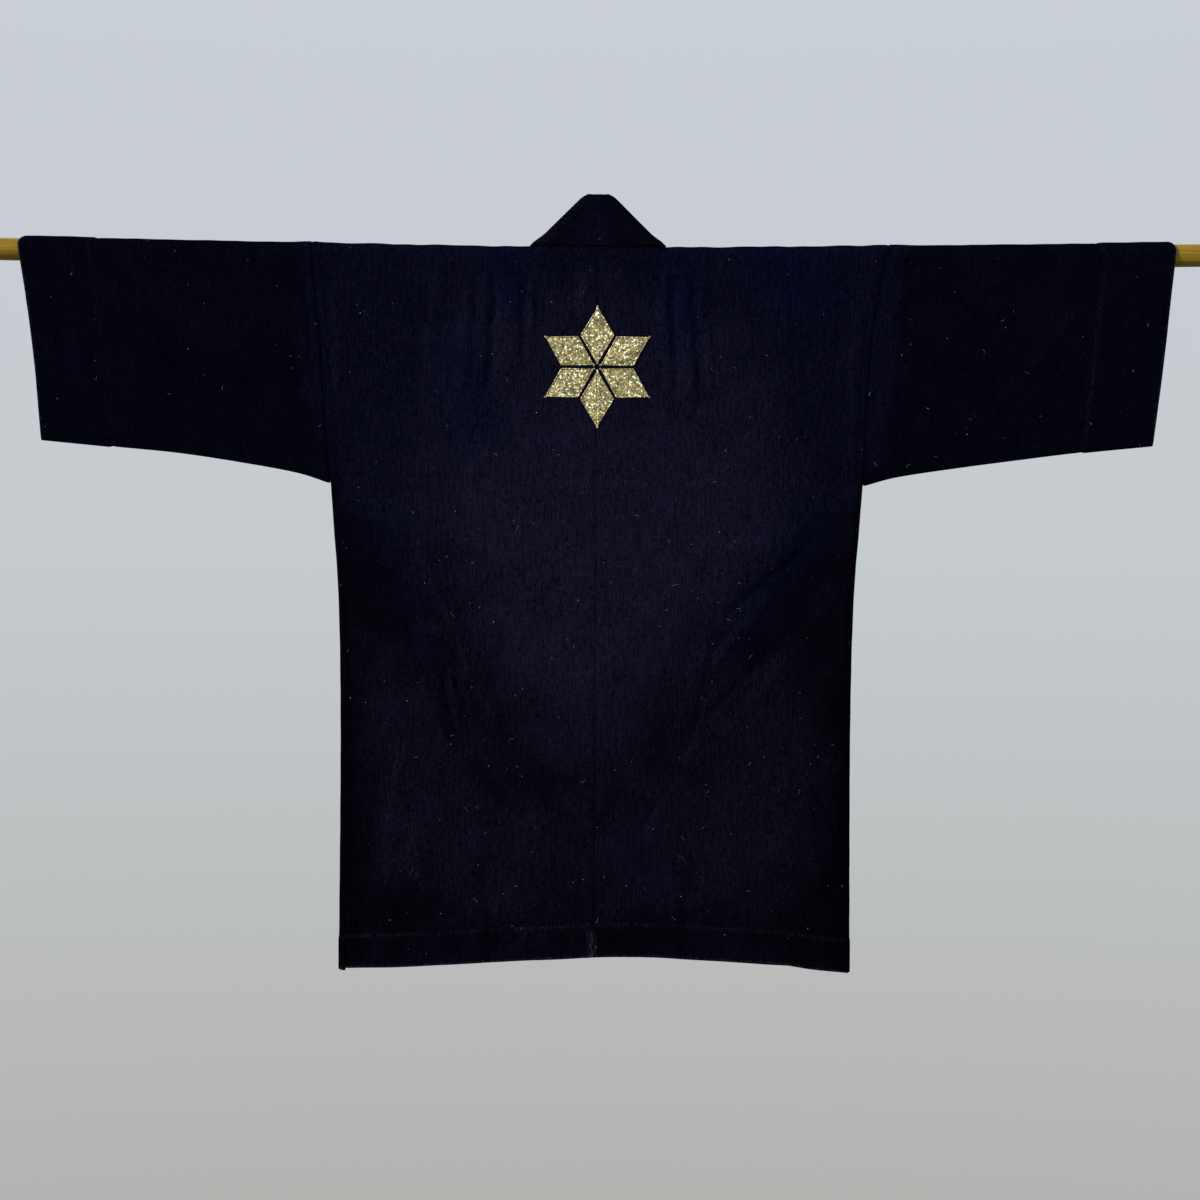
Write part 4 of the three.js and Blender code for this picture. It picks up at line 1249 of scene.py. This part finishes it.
def make_rod():
    """The pole, slightly uneven, with eased ends."""
    half, sides = rod.half_length, 48
    x = spaced(2 * half, 6, (0.4, 1, 2)) - half
    eased = rod.radius - 1.6 * smooth(1 - (half - np.abs(x)) / 2)
    eased = eased - 0.1 * (1 + np.sin(x / 83) * np.cos(x / 29))
    path = np.stack([x, 0 * x, axis_z(x)], -1)
    path = np.concatenate([path[:1], path, path[-1:]])
    path[[0, -1], 0] += -0.02, 0.02
    radii = np.concatenate([[0.3], eased, [0.3]])
    points, faces = tube(path, radii, sides, lambda i, turns: -0.06 - 0.05 * np.cos(3 * turns + i * 0.02))
    last = len(points) - 1
    caps = [[*range(sides)], [*range(last, last - sides, -1)]]
    wood = finish("grained_wood", wood_nodes, Specular_IOR_Level=0.14)
    return dress(mesh_object("rod_pole", points, [*faces.tolist(), *caps], wood), WOOD, "rod")


class JACKET_OT_rod(bpy.types.Operator):
    """Makes the rod that the jacket hangs on."""

    bl_idname = "jacket.rod"
    bl_label = "Rod"

    def execute(self, context):
        make_rod()
        return {"FINISHED"}


class JACKET_OT_body(bpy.types.Operator):
    """Makes both lengths of the body."""

    bl_idname = "jacket.body"
    bl_label = "Body"

    def execute(self, context):
        for side in SIGN:
            make_body(side)
        return {"FINISHED"}


class JACKET_OT_sleeves(bpy.types.Operator):
    """Makes both sleeves."""

    bl_idname = "jacket.sleeves"
    bl_label = "Sleeves"

    def execute(self, context):
        for side in SIGN:
            make_sleeve(side)
        return {"FINISHED"}


class JACKET_OT_gussets(bpy.types.Operator):
    """Makes the strips down both sides."""

    bl_idname = "jacket.gussets"
    bl_label = "Gussets"

    def execute(self, context):
        for side in SIGN:
            make_gusset(side)
        return {"FINISHED"}


class JACKET_OT_collar(bpy.types.Operator):
    """Makes the collar's one long band."""

    bl_idname = "jacket.collar"
    bl_label = "Collar"

    def execute(self, context):
        make_collar()
        return {"FINISHED"}


class JACKET_OT_leaves(bpy.types.Operator):
    """Makes the six gold leaves on the back and the cords round them."""

    bl_idname = "jacket.leaves"
    bl_label = "Leaves"

    def execute(self, context):
        for number in range(1, 7):
            make_leaf(number)
        cords = [leaf_cord(number) for number in range(1, 7)]
        dress(joined("gold_cords", cords, gold("gold_cord", 0.0006, 0.6), uv=True), GOLD)
        return {"FINISHED"}


class JACKET_OT_stitches(bpy.types.Operator):
    """Sews the stitches that show."""

    bl_idname = "jacket.stitches"
    bl_label = "Stitches"

    def execute(self, context):
        make_stitches()
        return {"FINISHED"}


class JACKET_OT_lint(bpy.types.Operator):
    """Scatters lint on the cloth."""

    bl_idname = "jacket.lint"
    bl_label = "Lint"

    def execute(self, context):
        make_lint()
        return {"FINISHED"}


def sun_light(name, place, strength, softness):
    """Even light from a direction, soft by the angle that its source fills."""
    data = bpy.data.lights.new(name, "SUN")
    data.energy, data.angle = strength, math.radians(softness)
    lamp = bpy.data.objects.new(name, data)
    lamp.location = place
    lamp.rotation_mode = "QUATERNION"
    lamp.rotation_quaternion = Vector(place).to_track_quat("Z", "Y")
    bpy.context.scene.collection.objects.link(lamp)


class JACKET_OT_stage(bpy.types.Operator):
    """Makes the floor, the lights, the pale surround and the camera."""

    bl_idname = "jacket.stage"
    bl_label = "Stage"

    def execute(self, context):
        sizes, colours, scene = jacket_sizes(), jacket_colours(), context.scene
        scene.view_settings.view_transform = "Standard"
        world = bpy.data.worlds.new("pale_room")
        world.use_nodes = True
        tree = world.node_tree
        height = add(tree, "SeparateXYZ", {0: add(tree, "TexCoord").outputs["Generated"]}).outputs[2]
        low, middle = colours["surround_low"], colours["surround"]
        room = blend_colour(tree, ramp(tree, height, -0.3, 0.02), low, middle)
        room = blend_colour(tree, ramp(tree, height, 0.02, 0.26), room, colours["surround_high"])
        tree.links.new(room, tree.nodes["Background"].inputs["Color"])
        scene.world = world

        material = finish("floor", floor_nodes, Roughness=0.8, Specular_IOR_Level=0.2)
        reach, behind, level = 9000, 2250, -1750.0
        x, y = np.meshgrid(np.linspace(-reach, reach, 17), np.linspace(-reach, behind, 14))
        flat = np.stack([x, y, np.full(x.shape, level)], -1)
        faces = cells_of(np.arange(x.size).reshape(x.shape))[..., [0, 3, 2, 1]].reshape(-1, 4)
        mesh_object("studio_floor", flat.reshape(-1, 3), faces, material)

        sun_light("key", (-2.5, -1.4, 1.2), 6.5, 12)
        sun_light("fill", (1.6, -2.0, 1.6), 0.9, 40)
        sun_light("front_key", (-1.6, 1.6, 1.5), 4, 25)

        data = bpy.data.cameras.new("camera")
        data.sensor_width = 36
        data.lens = data.sensor_width * sizes.camera_distance / sizes.view_width
        camera = bpy.data.objects.new("camera", data)
        centre = Vector((0.0045, 0, -0.3902))
        camera.location = centre + Vector((0, -sizes.camera_distance, 0))
        camera.rotation_euler = (math.radians(90), math.radians(-0.32), 0)
        scene.collection.objects.link(camera)
        scene.camera = camera
        return {"FINISHED"}


OPERATORS = (
    JACKET_OT_stage,
    JACKET_OT_rod,
    JACKET_OT_body,
    JACKET_OT_sleeves,
    JACKET_OT_gussets,
    JACKET_OT_collar,
    JACKET_OT_leaves,
    JACKET_OT_stitches,
    JACKET_OT_lint,
)


class JACKET_PT_panel(bpy.types.Panel):
    """Sizes, colours and the pieces of the jacket."""

    bl_idname = "JACKET_PT_panel"
    bl_label = "Jacket"
    bl_space_type = "VIEW_3D"
    bl_region_type = "UI"
    bl_category = "Jacket"

    def draw(self, context):
        for group in (context.scene.jacket_sizes, context.scene.jacket_colours):
            column = self.layout.column()
            for name in type(group).__annotations__:
                column.prop(group, name)
        for operator in OPERATORS:
            self.layout.operator(operator.bl_idname)


CLASSES = (JacketSizes, JacketColours, *OPERATORS, JACKET_PT_panel)


def register():
    for made in CLASSES:
        bpy.utils.register_class(made)
    bpy.types.Scene.jacket_sizes = bpy.props.PointerProperty(type=JacketSizes)
    bpy.types.Scene.jacket_colours = bpy.props.PointerProperty(type=JacketColours)


def unregister():
    del bpy.types.Scene.jacket_sizes
    del bpy.types.Scene.jacket_colours
    for made in reversed(CLASSES):
        bpy.utils.unregister_class(made)


def main():
    register()
    for operator in OPERATORS:
        group, name = operator.bl_idname.split(".")
        getattr(getattr(bpy.ops, group), name)()


if __name__ == "__main__":
    main()
